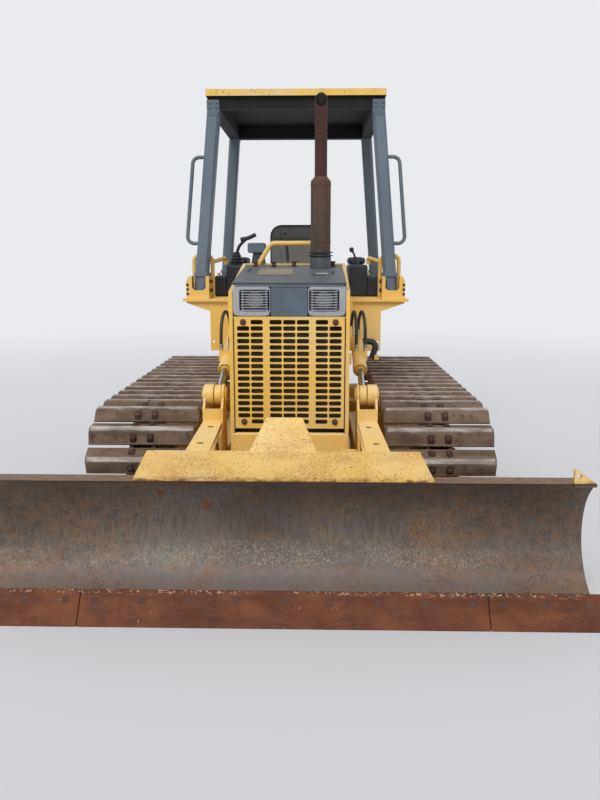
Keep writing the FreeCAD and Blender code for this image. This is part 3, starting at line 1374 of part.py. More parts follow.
def blade():
    """The curved moldboard with its beams and ribs, the spill guard and the two lifting ears."""
    half = "blade_half"
    mold = prism(
        "moldboard", "YZ", f"-{half}", half,
        (
            ("blade_top_y", "blade_top_z", "-mold_radius"),
            ("blade_foot_y", "blade_foot_z"),
            ("blade_foot_y + mold_plate", "blade_foot_z - mold_plate / 2", "mold_radius + mold_plate"),
            ("blade_top_y + mold_plate", "blade_top_z"),
        ),
    )
    pieces = [mold]
    for label, low, high in (
        ("top", "blade_top_z - beam_inset - beam_tall", "blade_top_z - beam_inset"),
        ("foot", "blade_foot_z", "blade_foot_z + beam_tall"),
    ):
        pieces.append(
            prism(
                f"blade_beam_{label}", "YZ", f"-{half}", half,
                (
                    (behind_mold(high), high),
                    (behind_mold(low), low),
                    ("blade_back", low),
                    ("blade_back", high),
                ),
            )
        )
    for number, place in enumerate(("0.5", "0.2", "-0.2", "-0.5", "1", "-1")):
        shift = {"1": " - rib", "-1": ""}.get(place, " - rib / 2")
        low = f"{place} * {half}{shift}"
        pieces.append(
            prism(
                f"blade_rib_{number + 1}", "YZ", low, f"{low} + rib",
                (
                    ("blade_top_y + mold_plate / 2", "blade_top_z", "-mold_radius - mold_plate / 2"),
                    ("blade_foot_y + mold_plate / 2", "blade_foot_z"),
                    ("blade_back", "blade_foot_z - beam_inset"),
                    ("blade_back", "blade_top_z - beam_inset"),
                ),
            )
        )
    pieces.append(
        box("blade_centre", f"-0.2 * {half}", f"0.2 * {half}", "blade_back - centre_plate", "blade_back",
            "blade_foot_z", "blade_top_z - centre_drop")
    )
    spill_front, spill_rear = "blade_top_y + mold_plate", "blade_top_y + 2 * mold_plate"
    pieces.append(
        prism(
            "spill_guard", "XZ", spill_front, spill_rear,
            (
                ("-spill_bottom", "blade_top_z - spill_sink"),
                ("spill_bottom", "blade_top_z - spill_sink"),
                ("spill_bottom", "blade_top_z"),
                ("spill_top", "spill_high"),
                ("-spill_top", "spill_high"),
                ("-spill_bottom", "blade_top_z"),
            ),
        )
    )
    low, high = size("spill_high"), size("cover_high")
    y, lean = size(spill_front), size("cover_lean")
    depth = size("mold_plate")
    rings = []
    for wide, back, z in ((size("cover_bottom"), 0, low), (size("cover_top"), lean, high)):
        rings.append(
            Part.makePolygon(
                [V(-wide, y + back, z), V(wide, y + back, z), V(wide, y + back + depth, z),
                 V(-wide, y + back + depth, z), V(-wide, y + back, z)]
            )
        )
    pieces.append(made("spill_cover", Part.makeLoft(rings, True, True)))
    holes = []
    for word, side in SIDES:
        signed = (lambda text: f"{side} * ({text})")
        outer = "blade_half"
        inner = "blade_half - ear_width"
        pieces.append(
            prism(
                f"ear_{word}", "XZ", "blade_top_y", "blade_top_y + ear_plate",
                (
                    (signed(outer), "blade_top_z - mold_plate"),
                    (signed(outer), "blade_top_z"),
                    (signed(f"{inner} + ear_flat"), "blade_top_z + ear_reach"),
                    (signed(inner), "blade_top_z + ear_reach"),
                    (signed(inner), "blade_top_z - mold_plate"),
                ),
            )
        )
        holes.append(
            bar(
                f"ear_hole_{word}", "Y", "ear_hole", "blade_top_y - 1", "blade_top_y + ear_plate + 1",
                signed(f"{inner} + ear_hole_in"), "blade_top_z + ear_hole_up",
            )
        )
    eye = "eye_width / 2"
    for label, low in (
        ("front", f"tilt_y - {eye} - play / 2 - tilt_lug"), ("rear", f"tilt_y + {eye} + play / 2"),
    ):
        pieces.append(
            box(
                f"tilt_lug_{label}", "tilt_pin_x - tilt_lug_half", "tilt_pin_x + tilt_lug_half", low,
                f"{low} + tilt_lug", "tilt_z - tilt_lug_half", "tilt_z + tilt_lug_half",
            )
        )
    pieces.append(
        box(
            "tilt_lug_bridge", "tilt_pin_x - tilt_lug_half", "tilt_pin_x + tilt_lug_half",
            "blade_back - tilt_leg_front", f"tilt_y + {eye} + play / 2 + tilt_lug",
            "tilt_z + tilt_lug_half", "tilt_z + tilt_lug_half + tilt_bridge",
        )
    )
    pieces.append(
        box(
            "tilt_lug_leg", "tilt_pin_x - tilt_lug_half", "tilt_pin_x + tilt_lug_half",
            "blade_back - tilt_leg_front", "blade_back - tilt_leg_front + tilt_leg",
            "blade_top_z - tilt_leg_sink", "tilt_z + tilt_lug_half + tilt_bridge",
        )
    )
    holes.append(
        bar(
            "tilt_pin_bore", "Y", "trunnion_radius + pin_clearance", "blade_back - 14", "blade_back + 1",
            "0", "trunnion_z",
        )
    )
    keep(cut("blade", fuse("blade_weldment", *pieces), *holes), "blade")


def cutting_edge():
    """The bolted edge: a flat bar, slanting forward down to the ground."""
    lean = "(edge_tip - blade_foot_y) / blade_foot_z"
    keep(
        prism(
            "cutting_edge", "YZ", "-edge_half", "edge_half",
            (
                ("blade_foot_y", "blade_foot_z"),
                ("edge_tip", "0"),
                ("edge_tip + edge_plate * 1.3", "0"),
                ("blade_foot_y + edge_plate * 0.75", f"blade_foot_z + edge_plate * 0.75 * {lean} * 0.8"),
            ),
        ),
        "cutting_edge",
    )


def cylinder_pair(name, rod_name, base, pin, pin_axis, stem, eye_width, extras=()):
    """A barrel with an eye at its base and a rod with an eye at its pin, on the line between the two."""
    barrel_radius, rod_radius = size(f"{stem}_barrel"), size(f"{stem}_rod")
    barrel_length, rod_length = size(f"{stem}_barrel_length"), size(f"{stem}_rod_length")
    start, bore_start = size(f"{stem}_start"), size(f"{stem}_bore_start")
    clearance = size("pin_clearance")
    way = pin.sub(base).normalize()
    eye_half = eye_width / 2
    eye_radius = barrel_radius * 0.95
    barrel = Part.makeCylinder(barrel_radius, barrel_length - start, base.add(way * start), way)
    barrel = barrel.fuse(Part.makeCylinder(eye_radius, 2 * eye_half, base.sub(pin_axis * eye_half), pin_axis))
    barrel = barrel.fuse(Part.makeCylinder(0.9 * eye_half, start + 1, base, way))
    if extras:
        barrel = barrel.fuse(list(extras))
    barrel = barrel.cut(
        Part.makeCylinder(rod_radius + clearance, barrel_length, base.add(way * bore_start), way).fuse(
            Part.makeCylinder(
                rod_radius + clearance, 4 * eye_half, base.sub(pin_axis * 2 * eye_half), pin_axis
            )
        )
    )
    # The rod's pin fills its eye and moves with it, since the eye drifts from the frame's holes.
    rod = Part.makeCylinder(rod_radius, rod_length, pin, way.negative())
    rod = rod.fuse(Part.makeCylinder(eye_radius, 2 * eye_half, pin.sub(pin_axis * eye_half), pin_axis))
    keep(made(name, barrel.removeSplitter()), name)
    keep(made(rod_name, rod.removeSplitter()), rod_name)


# The hoses' two ends: how far out from the machine's middle each one stands.
HOSES = (
    # name, front end, rear end
    ("inner", 386, 364),
    ("outer", 440, 408),
)
# A hose's way from its front fitting up and back to its rear one: its share of the way across, Y and Z.
HOSE_ROUTE = (
    (0.0, -500, 1078),
    (0.0, -500, 1140),
    (0.06, -493, 1203),
    (0.2, -465, 1255),
    (0.4, -418, 1284),
    (0.6, -362, 1286),
    (0.8, -313, 1259),
    (1.0, -280, 1208),
    (1.0, -280, 1150),
)


def ports(side):
    """Two blocks on a lift cylinder's barrel, with the fittings of its two hoses."""
    half = size("port_half")
    radius = size("fitting_radius")
    slope = size("(lift_base_z - lift_pin_z) / (lift_base_y - lift_pin_y)")
    pieces = []
    for end, column in (("front", 1), ("rear", 2)):
        y = size(f"port_{end}")
        axis_z = size("lift_base_z") + slope * (y - size("lift_base_y"))
        places = [side * row[column] for row in HOSES]
        block_top = axis_z + size("lift_barrel") + half
        low, high = min(places) - radius, max(places) + radius
        pieces.append(Part.makeBox(high - low, 2 * half, block_top - axis_z, V(low, y - half, axis_z)))
        for x in places:
            top = size(f"port_{end}_top")
            pieces.append(Part.makeCylinder(radius, top - block_top + 1, V(x, y, block_top - 1)))
    return pieces


def cord_path(points):
    """Straight runs joined by tangent arcs, each as large as its two runs allow."""
    edges = []
    radii = []
    here = points[0]
    for before, corner, after in zip(points, points[1:], points[2:]):
        inward = before.sub(corner)
        outward = after.sub(corner)
        reach = 0.45 * min(inward.Length, outward.Length)
        inward.normalize()
        outward.normalize()
        half = inward.getAngle(outward) / 2
        bend = reach * math.tan(half)
        radii.append(bend)
        start = corner.add(inward * reach)
        end = corner.add(outward * reach)
        middle_way = inward.add(outward).normalize()
        middle = corner.add(middle_way * (bend / math.sin(half) - bend))
        edges += [Part.LineSegment(here, start).toShape(), Part.Arc(start, middle, end).toShape()]
        here = end
    edges.append(Part.LineSegment(here, points[-1]).toShape())
    return Part.Wire(edges), radii


def hose(name, side, front_x, rear_x):
    """A hydraulic hose that loops up between two fittings on a lift cylinder."""
    points = [V(side * (front_x + (rear_x - front_x) * share), y, z) for share, y, z in HOSE_ROUTE]
    path, radii = cord_path(points)
    radius = size("hose_radius")
    ring = Part.Wire([Part.makeCircle(radius, points[0], points[1].sub(points[0]))])
    solid = path.makePipeShell([ring], True, True)
    share = solid.Volume / (math.pi * radius**2 * path.Length)
    bends = [round(bend) for bend in radii]
    print(name, "length", round(path.Length), "radii", bends, "volume share", round(share, 3))
    keep(made(name, solid), name)


def cylinders():
    for word, side in SIDES:
        cylinder_pair(
            f"lift_cylinder_{word}", f"lift_rod_{word}",
            V(side * size("lift_x"), size("lift_base_y"), size("lift_base_z")),
            V(side * size("lift_x"), size("lift_pin_y"), size("lift_pin_z")),
            V(1, 0, 0), "lift", size("lift_eye"), ports(side),
        )
        for label, front_x, rear_x in HOSES:
            hose(f"hose_{label}_{word}", side, front_x, rear_x)
        cylinder_pair(
            f"angle_cylinder_{word}", f"angle_rod_{word}",
            V(side * size("angle_base_x"), size("angle_base_y"), size("lug_z")),
            V(side * size("angle_pin_x"), size("angle_pin_y"), size("lug_z")),
            V(0, 0, 1), "angle", size("eye_width"),
        )
    cylinder_pair(
        "tilt_cylinder", "tilt_rod",
        V(size("tilt_base_x"), size("tilt_y"), size("tilt_z")),
        V(size("tilt_pin_x"), size("tilt_y"), size("tilt_z")),
        V(0, 1, 0), "tilt", size("eye_width"),
    )


main_frame()
transmission_case()
drawbar()
for word, side in SIDES:
    track_frame(side, word)
    running_gear(side, word)
    keep(track("track_" + word, side), "track_" + word)
    engine_bay_side(side, word)
    engine_door(side, word)
front_grille()
lamp_panel()
engine_bay()
exhaust()
for word, side in SIDES:
    fender(side, word)
    canopy_post(side, word, "front")
    canopy_post(side, word, "rear")
    deck_rail(side, word)
canopy_roof()
operator_place()
c_frame()
blade_carrier()
blade()
cutting_edge()
cylinders()
doc.recompute()

failed = [o.Name for o in doc.Objects if "Invalid" in o.State or "Error" in o.State]
failed += [n.Label for n in nodes if n.Shape.isNull() or not n.Shape.isValid()]
if failed:
    raise SystemExit("not built: " + ", ".join(failed))
os.makedirs("parts", exist_ok=True)
for piece in nodes:
    piece.Shape.exportStep(os.path.join("parts", piece.Label + ".step"))
print(len(nodes), "sub-parts written")
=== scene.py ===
# %% [markdown]
# # A small crawler bulldozer
#
# The machine's construction comes from the imported model: its frame, tracks, blade and cylinders already have
# their true sizes and places. This script gives it its looks. It finishes every surface, and where the packed
# piece is plain it makes a finer one in the same place. The first cell loads the model and has a helper that
# reads a packed part's box.

# %% The imported model and its box
import math

import bpy
import numpy as np
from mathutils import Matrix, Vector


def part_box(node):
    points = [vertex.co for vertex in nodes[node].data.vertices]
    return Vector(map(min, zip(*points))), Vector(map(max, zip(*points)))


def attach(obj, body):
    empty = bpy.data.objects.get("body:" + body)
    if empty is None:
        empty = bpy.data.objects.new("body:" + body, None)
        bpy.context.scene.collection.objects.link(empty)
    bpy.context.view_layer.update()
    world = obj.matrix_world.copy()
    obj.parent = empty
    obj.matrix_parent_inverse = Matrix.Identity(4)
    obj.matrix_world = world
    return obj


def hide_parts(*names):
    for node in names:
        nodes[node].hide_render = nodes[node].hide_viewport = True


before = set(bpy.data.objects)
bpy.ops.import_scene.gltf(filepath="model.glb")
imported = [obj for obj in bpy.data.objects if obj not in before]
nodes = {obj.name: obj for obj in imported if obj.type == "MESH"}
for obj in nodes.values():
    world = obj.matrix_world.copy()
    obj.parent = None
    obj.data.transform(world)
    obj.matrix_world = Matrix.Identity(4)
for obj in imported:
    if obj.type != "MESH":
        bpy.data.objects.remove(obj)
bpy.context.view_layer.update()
SIDES = (("left", 1), ("right", -1))

# %% [markdown]
# ## Camera, light and floor
#
# The photograph was taken standing, a little over three metres in front of the blade, with the eye at 1.6 m
# and the view tilted down by some ten degrees. A camera in Blender looks down its own -Z axis, so a turn of
# 90 degrees about X makes it level, and a smaller turn tilts it down. The lens follows from the angle of view:
# 750 pixels of focal length on a picture 800 pixels high is the same as 33.75 mm on a sensor 36 mm high.

# %% Camera
EYE = (0.152, -5.06, 1.6)
TILT_DOWN = math.radians(10.57)
TURN_LEFT = 0.024
SENSOR_HEIGHT = 36.0
FOCAL_PIXELS, PICTURE_HEIGHT = 750.0, 800.0

camera_data = bpy.data.cameras.new("camera")
camera_data.sensor_fit = "VERTICAL"
camera_data.sensor_height = SENSOR_HEIGHT
camera_data.lens = SENSOR_HEIGHT * FOCAL_PIXELS / PICTURE_HEIGHT
camera = bpy.data.objects.new("camera", camera_data)
camera.location = EYE
camera.rotation_euler = (math.pi / 2 - TILT_DOWN, 0, TURN_LEFT)
bpy.context.scene.collection.objects.link(camera)
bpy.context.scene.camera = camera
bpy.context.scene.view_settings.view_transform = "Standard"
print("lens in millimetres:", camera_data.lens)

# %% [markdown]
# Colours are written as sRGB hex values, the way a colour picker shows them. Blender computes with linear
# light, so one function turns the one into the other. A second small function adds a node to a material with
# its settings and links, and every material below is built with it.

# %% Colour and node helpers


def colour(code):
    """An sRGB hex code as linear red, green, blue and alpha: each channel through the sRGB curve."""
    srgb = np.array([int(code[i : i + 2], 16) for i in (1, 3, 5)]) / 255
    linear = np.where(srgb <= 0.04045, srgb / 12.92, ((srgb + 0.055) / 1.055) ** 2.4)
    return (*linear.tolist(), 1.0)


def add(tree, kind, inputs=None, **settings):
    """Adds one node. Settings are its properties, and inputs are values or the sockets that feed it."""
    made = tree.nodes.new(kind)
    for name, value in settings.items():
        setattr(made, name, value)
    for name, value in (inputs or {}).items():
        socket = made.inputs[name]
        if isinstance(value, bpy.types.NodeSocket):
            tree.links.new(value, socket)
        else:
            socket.default_value = value
    return made


def new_material(name):
    """An empty material with its shader and output, returned with its node tree."""
    material = bpy.data.materials.new(name)
    material.use_nodes = True
    material.node_tree.nodes.clear()
    return material, material.node_tree


print("yellow enamel in linear light:", [round(c, 3) for c in colour("#E6B84A")])

# %% [markdown]
# The light is that of a plain studio: an even pale surround and one broad soft lamp from above and in front.
# Together they light an upward face at a level of about one, so a colour renders about as it is written. The
# floor is a pale plate that catches the shadow. Far from the machine it fades into the surround's own colour, so
# no horizon shows.

# %% Light and floor
SURROUND = 0.6
SUN_POWER = 1.7
SUN_SIZE, SUN_TURN = math.radians(35), (math.radians(40), math.radians(-14), 0)
BACKDROP = "#E9EBEE"

world = bpy.data.worlds.new("studio")
world.use_nodes = True
tree = world.node_tree
tree.nodes.clear()
path = add(tree, "ShaderNodeLightPath")
seen = path.outputs["Is Camera Ray"]
for ray in ("Is Glossy Ray", "Is Transmission Ray"):
    seen = add(tree, "ShaderNodeMath", {0: seen, 1: path.outputs[ray]}, operation="MAXIMUM").outputs[0]
lit = add(tree, "ShaderNodeBackground", {"Color": colour("#F4F6FA"), "Strength": SURROUND})
shown = add(tree, "ShaderNodeBackground", {"Color": colour(BACKDROP), "Strength": 1.0})
either = add(tree, "ShaderNodeMixShader", {"Fac": seen, 1: lit.outputs[0], 2: shown.outputs[0]})
add(tree, "ShaderNodeOutputWorld", {"Surface": either.outputs[0]})
bpy.context.scene.world = world

sun_data = bpy.data.lights.new("soft_lamp", "SUN")
sun_data.energy = SUN_POWER
sun_data.angle = SUN_SIZE
sun = bpy.data.objects.new("soft_lamp", sun_data)
sun.rotation_euler = SUN_TURN
bpy.context.scene.collection.objects.link(sun)
print("lamp power:", SUN_POWER)

# %% Floor
FLOOR_REACH, FADE_FROM, FADE_TO = 40.0, 4.5, 14.0


def plain_mesh(name, points, faces):
    """A mesh object at the origin from arrays of points and faces."""
    mesh = bpy.data.meshes.new(name)
    mesh.from_pydata(np.asarray(points, float).tolist(), [], [list(map(int, f)) for f in faces])
    mesh.update()
    made = bpy.data.objects.new(name, mesh)
    bpy.context.scene.collection.objects.link(made)
    return made


corners = FLOOR_REACH * np.array([(-1, -1, 0), (1, -1, 0), (1, 1, 0), (-1, 1, 0)])
floor = plain_mesh("floor", corners, [(0, 1, 2, 3)])
floor_material, tree = new_material("pale_studio_floor")
shader = add(tree, "ShaderNodeBsdfPrincipled", {"Base Color": colour("#D9DADC"), "Roughness": 0.9})
glow = add(tree, "ShaderNodeEmission", {"Color": colour(BACKDROP), "Strength": 1.0})
place = add(tree, "ShaderNodeTexCoord").outputs["Object"]
away = add(tree, "ShaderNodeVectorMath", {0: place}, operation="LENGTH").outputs["Value"]
fade = add(tree, "ShaderNodeMapRange", {"Value": away, "From Min": FADE_FROM, "From Max": FADE_TO},
           interpolation_type="SMOOTHSTEP").outputs["Result"]
blend = add(tree, "ShaderNodeMixShader", {"Fac": fade, 1: shader.outputs[0], 2: glow.outputs[0]})
add(tree, "ShaderNodeOutputMaterial", {"Surface": blend.outputs[0]})
floor.data.materials.append(floor_material)
print("floor reaches", FLOOR_REACH, "m each way")

# %% [markdown]
# ## Finishes
#
# Most of the machine is steel under a yellow synthetic enamel. Years outdoors leave such paint dull, with
# dark dirt in broad patches and rust where stones have chipped it. What faces up turns towards a paler tone of
# its paint: partly a dusting, and partly painted light from above. Instead of one flat colour, each of those is a
# layer mixed over the paint: the faded tone, dirt and rust by their own noise patterns, the paler tone by how far
# a face looks up. The patterns read Object coordinates, which on this model are metres, so a pattern's scale is
# one divided by its real size.

# %% Layers for painted and bare steel


def noise(tree, size_mm, detail=4.0, rough=0.55, stretch=(1, 1, 1)):
    """Grey noise whose blotches are about that many millimetres across, drawn out along an axis by stretch."""
    at = add(tree, "ShaderNodeTexCoord").outputs["Object"]
    scaled = add(tree, "ShaderNodeMapping", {"Vector": at, "Scale": tuple(1 / s for s in stretch)})
    made = add(tree, "ShaderNodeTexNoise", {
        "Vector": scaled.outputs[0], "Scale": 1000.0 / size_mm, "Detail": detail, "Roughness": rough})
    return made.outputs["Fac"]


def mask(tree, *parts):
    """A share: the product of its parts. A part (value, low, high) rises smoothly from 0 at low to 1 at high."""
    product = None
    for part in parts:
        if isinstance(part, tuple):
            inputs = dict(zip(("Value", "From Min", "From Max"), part))
            part = add(tree, "ShaderNodeMapRange", inputs, interpolation_type="SMOOTHSTEP").outputs["Result"]
        product = part if product is None else add(
            tree, "ShaderNodeMath", {0: product, 1: part}, operation="MULTIPLY").outputs[0]
    return product


def patches(tree, size_mm, low, high, *grain):
    """A mask of patches of about that size: grain is the detail, roughness and stretch of their noise."""
    return mask(tree, (noise(tree, size_mm, *grain), low, high))


def level(tree, size_mm, low, high, *grain):
    """A value that drifts between low and high in blotches of that size."""
    made = add(tree, "ShaderNodeMapRange", {"Value": noise(tree, size_mm, *grain), "To Min": low, "To Max": high})
    return made.outputs["Result"]


def part_of(tree, axis):
    """One coordinate in metres: every piece sits at the origin, so Object coordinates are the machine's own."""
    return add(tree, "ShaderNodeSeparateXYZ", {0: add(tree, "ShaderNodeTexCoord").outputs["Object"]}).outputs[axis]


def away_from(tree, place, across, mirrored=False):
    """Distance from a place, squeezed along each axis by across: where that is 0 it is the distance to a line."""
    at = add(tree, "ShaderNodeTexCoord").outputs["Object"]
    steps = [("ABSOLUTE", {})] * mirrored + [("SUBTRACT", {1: place}), ("MULTIPLY", {1: across}), ("LENGTH", {})]
    for operation, inputs in steps:
        made = add(tree, "ShaderNodeVectorMath", {0: at, **inputs}, operation=operation)
        at = made.outputs[0]
    return made.outputs["Value"]


def looking_up(tree, low=0.25, high=0.95):
    """A mask of how far a face looks up: its normal's height is 1 on a floor, 0 on a wall and -1 underneath."""
    normal = add(tree, "ShaderNodeNewGeometry").outputs["Normal"]
    return mask(tree, (add(tree, "ShaderNodeSeparateXYZ", {0: normal}).outputs["Z"], low, high))


def layered(tree, base, *layers):
    """Layers over a base, each a colour with the share of the surface that it covers."""
    for cover, share in layers:
        under, cover = (colour(c) if isinstance(c, str) else c for c in (base, cover))
        base = add(tree, "ShaderNodeMix", {"Factor": share, 6: under, 7: cover}, data_type="RGBA").outputs[2]
    return base


def finish(material, tree, base, rough, grain, relief_mm, share=None, **plain):
    """The shader with its colour, roughness and relief. What is the same all over is set on its own sockets.

    rough is a number, or a row for level(), or two rows: the second one holds where share is 1. grain is the
    noise of the relief, whose depth is in millimetres.
    """
    if share is not None:
        rough = add(tree, "ShaderNodeMix", {"Factor": share, 2: level(tree, *rough[0]), 3: level(tree, *rough[1])})
        rough = rough.outputs[0]
    elif isinstance(rough, tuple):
        rough = level(tree, *rough)
    relief = add(tree, "ShaderNodeBump", {
        "Height": noise(tree, *grain), "Distance": relief_mm / 1000, "Strength": 1.0}).outputs[0]
    shader = add(tree, "ShaderNodeBsdfPrincipled", {"Base Color": base, "Roughness": rough, "Normal": relief, **plain})
    add(tree, "ShaderNodeOutputMaterial", {"Surface": shader.outputs[0]})
    return material


# %% Enamels
RUST, DEEP_RUST = "#8A4A20", "#6A351C"


def enamel_colour(tree, paint, faded, chips=0.66, dust_and_top_light=0.3, grime=0.3, dirt="#A67E3E", pale="#F0DDB0"):
    """Paint and its faded tone, dirt in soft runs, a paler tone on upward faces and chips down to rust.

    The paler tone is partly a dusting and partly painted light from above; dust_and_top_light is its share where a
    face looks straight up. chips is the noise level above which the paint is gone: the higher, the fewer the chips.
    """
    return layered(tree, paint, (faded, patches(tree, 420, 0.4, 0.68)),
        (dirt, mask(tree, patches(tree, 90, 0.5, 0.78, 6.0, 0.65, (1, 1, 5)), grime)),
        # Upward faces mixed towards the pale tone: partly a dusting, partly painted light from above.
        (pale, mask(tree, looking_up(tree), dust_and_top_light)),
        (DEEP_RUST, mask(tree, patches(tree, 14, chips, chips + 0.04, 3.0, 0.6), patches(tree, 260, 0.44, 0.6))),
        (RUST, mask(tree, patches(tree, 6, chips + 0.02, chips + 0.07, 2.0, 0.5), 0.8)))


def weathered_enamel(name, *paint):
    """Synthetic enamel, brushed or sprayed over steel: glossy once, now dusty, grimed and chipped to rust, with
    painted light from above on its upward faces.
    """
    material, tree = new_material(name)
    return finish(material, tree, enamel_colour(tree, *paint), (60, 0.36, 0.62), (9, 2.0), 0.25)


YELLOW, FADED_YELLOW = "#F2C35E", "#EFCB80"
yellow_enamel = weathered_enamel("yellow_enamel_on_steel", YELLOW, FADED_YELLOW)
slate_enamel = weathered_enamel(
    "slate_grey_enamel_on_steel", "#5A6773", "#66727E", 0.7, 0.15, 0.15, "#48515A", "#9AA0A4")
# On the dark grey enamel the pale grey tone of upward faces is mostly a painted reflection of the pale sky on the
# hood's top, over a little dusting.
hood_enamel = weathered_enamel(
    "dark_grey_enamel_on_steel", "#3F454C", "#4B5057", 0.72, 0.25, 0.1, "#34383C", "#8C9093")
dark_enamel = weathered_enamel("black_enamel_on_steel", "#26292D", "#2F3134", 0.74, 0.12, 0.2, "#3A342C", "#6A6862")
print("enamels:", yellow_enamel.name, slate_enamel.name, hood_enamel.name)

# %% Bare, worn and rusty steel
SCALE_GRAIN = (7, 5.0, 0.7)


def bare_steel(name, light, dark, rust, rust_from, rough, metal, stretch=(4, 1, 1)):
    """Rolled steel with its paint gone: burnished by soil, with orange rust where it has stood wet."""
    material, tree = new_material(name)
    stain = mask(tree, patches(tree, 190, rust_from, rust_from + 0.14, 5.0, 0.7),
                 patches(tree, 12, 0.42, 0.62, 4.0, 0.75))
    base = layered(tree, dark, (light, patches(tree, 70, 0.35, 0.68, 6.0, 0.62, stretch)), (rust, stain))
    return finish(material, tree, base, (35, *rough, 5.0), SCALE_GRAIN, 0.6, Metallic=metal)


def edge_finish():
    """Hardened bar: brown rust with upright scratches, and pale grit marks along its upper rim."""
    material, tree = new_material("rusted_cutting_edge_steel")
    base = layered(tree, "#562509", ("#713B18", patches(tree, 90, 0.36, 0.66, 6.0, 0.62, (3, 1, 1))),
        ("#3E2116", mask(tree, patches(tree, 180, 0.5, 0.66, 5.0, 0.7), 0.5)),
        ("#BE9A7A", mask(tree, (part_of(tree, "Z"), 0.112, 0.128), patches(tree, 10, 0.54, 0.6, 4.0, 0.7, (1.6, 1, 1)),
                         patches(tree, 320, 0.42, 0.56, 3.0))),
        ("#A58C7C",
         mask(tree, patches(tree, 13, 0.66, 0.72, 3.0, 0.6, (1, 1, 5)), patches(tree, 210, 0.46, 0.58, 3.0))))
    return finish(material, tree, base, (60, 0.6, 0.9), SCALE_GRAIN, 0.6)


def shoe_finish():
    """Rolled shoe steel: brown with dried mud and rust, and scoured bright where a ridge meets the ground."""
    material, tree = new_material("scoured_track_shoe_steel")
    ridge = add(tree, "ShaderNodeAttribute", attribute_name="ridge").outputs["Fac"]
    worn = add(tree, "ShaderNodeMath", {0: ridge, 1: level(tree, 70, -0.55, 0.2)}, operation="ADD").outputs[0]
    worn = mask(tree, (worn, 0.45, 0.85))
    scuff = layered(tree, "#857870", ("#B5ADA6", patches(tree, 30, 0.4, 0.62, 5.0, 0.7, (6, 1, 1))))
    base = layered(tree, "#58422F", ("#7B6655", patches(tree, 120, 0.36, 0.66, 6.0, 0.6, (3, 1, 1))),
        ("#42291C", mask(tree, patches(tree, 60, 0.5, 0.7, 5.0, 0.7), 0.8)), (scuff, worn))
    return finish(material, tree, base, ((60, 0.62, 0.85), (40, 0.32, 0.5)), (8, 5.0, 0.7), 0.8, worn,
                  Metallic=mask(tree, worn, 0.4))


edge_steel, shoe_steel = edge_finish(), shoe_finish()
rusty_iron = bare_steel("rusted_cast_iron", "#5C4034", "#432F26", "#5E3526", 0.4, (0.7, 0.9), 0.0)
drawbar_steel = bare_steel("worn_forged_steel", "#6D675F", "#4A4540", "#74452A", 0.5, (0.45, 0.7), 0.5)
# Dark brown iron with caked soil. The same finish also stands as painted shade in the gaps beside the grille and in
# the guards' slots.
soil_and_shade_iron = bare_steel("soil_caked_iron_and_painted_shade", "#33241B", "#21170F", "#3A2418", 0.45, (0.8, 0.95), 0.0)
engine_iron = bare_steel("painted_engine_iron", "#6E5A2A", "#4C4330", "#4E3524", 0.5, (0.6, 0.85), 0.1)
pipe_rust = bare_steel("rusted_exhaust_pipe", "#43231B", "#2E1813", "#54291A", 0.4, (0.7, 0.9), 0.0, (1, 1, 4))
print("steels:", edge_steel.name, shoe_steel.name, rusty_iron.name)

# %% Chrome, plastic, glass, vinyl and rubber


def simple_finish(name, light, dark, size_mm, rough, grain_mm=3.0, relief_mm=0.15, **plain):
    """A moulded or plated finish: two close colours in slow blotches, and a fine grain in its relief."""
    material, tree = new_material(name)
    base = layered(tree, dark, (light, patches(tree, size_mm, 0.35, 0.65)))
    return finish(material, tree, base, rough, (grain_mm, 2.0), relief_mm, **plain)


def vinyl_finish(name, upper, lower, border_z):
    """Coated cloth with a fine pressed grain: the seat back's top band is darker than the panel under it."""
    material, tree = new_material(name)
    base = layered(tree, lower, (upper, mask(tree, (part_of(tree, "Z"), border_z - 0.002, border_z + 0.002))),
                   ("#39352F", mask(tree, patches(tree, 110, 0.5, 0.75, 5.0, 0.65), 0.35)))
    return finish(material, tree, base, (60, 0.5, 0.68), (2.5, 2.0), 0.25)


panel_plastic = simple_finish("moulded_light_grey_plastic", "#ABADB2", "#9C9EA5", 120, 0.5)
plate_plastic = simple_finish("moulded_slate_plastic", "#5B6874", "#525E69", 120, 0.5)
black_plastic = simple_finish("moulded_black_plastic", "#252B33", "#1B2027", 90, 0.5)
SEAT_BAND_Z = 1.752
seat_vinyl = vinyl_finish("coated_seat_vinyl", "#4A4946", "#7E7B75", SEAT_BAND_Z)
arm_vinyl = simple_finish("coated_armrest_vinyl", "#2B2C2E", "#222325", 150, 0.6, 1.6, 0.25)
hose_rubber = simple_finish("braided_hose_rubber", "#33383C", "#282C30", 50, 0.55, 1.5, 0.2)
core_metal = simple_finish("dusty_radiator_fins", "#4A3A20", "#33302B", 60, 0.8, Metallic=0.2)
lamp_glass = simple_finish("ribbed_lamp_glass", "#D9DDE0", "#C8CDD1", 40, 0.12, 6, 0.4)
zinc_steel = simple_finish("zinc_plated_steel", "#A9AA9C", "#8E9182", 30, 0.38, 3, 0.1, Metallic=0.8)
print("other finishes:", panel_plastic.name, seat_vinyl.name, hose_rubber.name)

# %% [markdown]
# Some pieces wear two finishes. The blade is one welding: soil keeps its curved front bare and burnished, and
# the rest of it keeps its paint. The roof is yellow outside and nearly black underneath: black paint, made darker
# than black paint is as painted shade under the roof. A mask worked out from the coordinates says where each
# finish is, so the imported piece stays whole. The blade's front is the part of it that lies nearer to the
# curve's axis than the middle of its plate.

# %% Two finishes on the blade
CURVE_AXIS, CURVE_RADIUS = (0.0, -2.027, 0.3849), 0.285
FOOT_BAND = 0.205
RUST_SPOTS = [((-0.565, 0, 0.56), 0.034), ((-0.36, 0, 0.49), 0.04)]


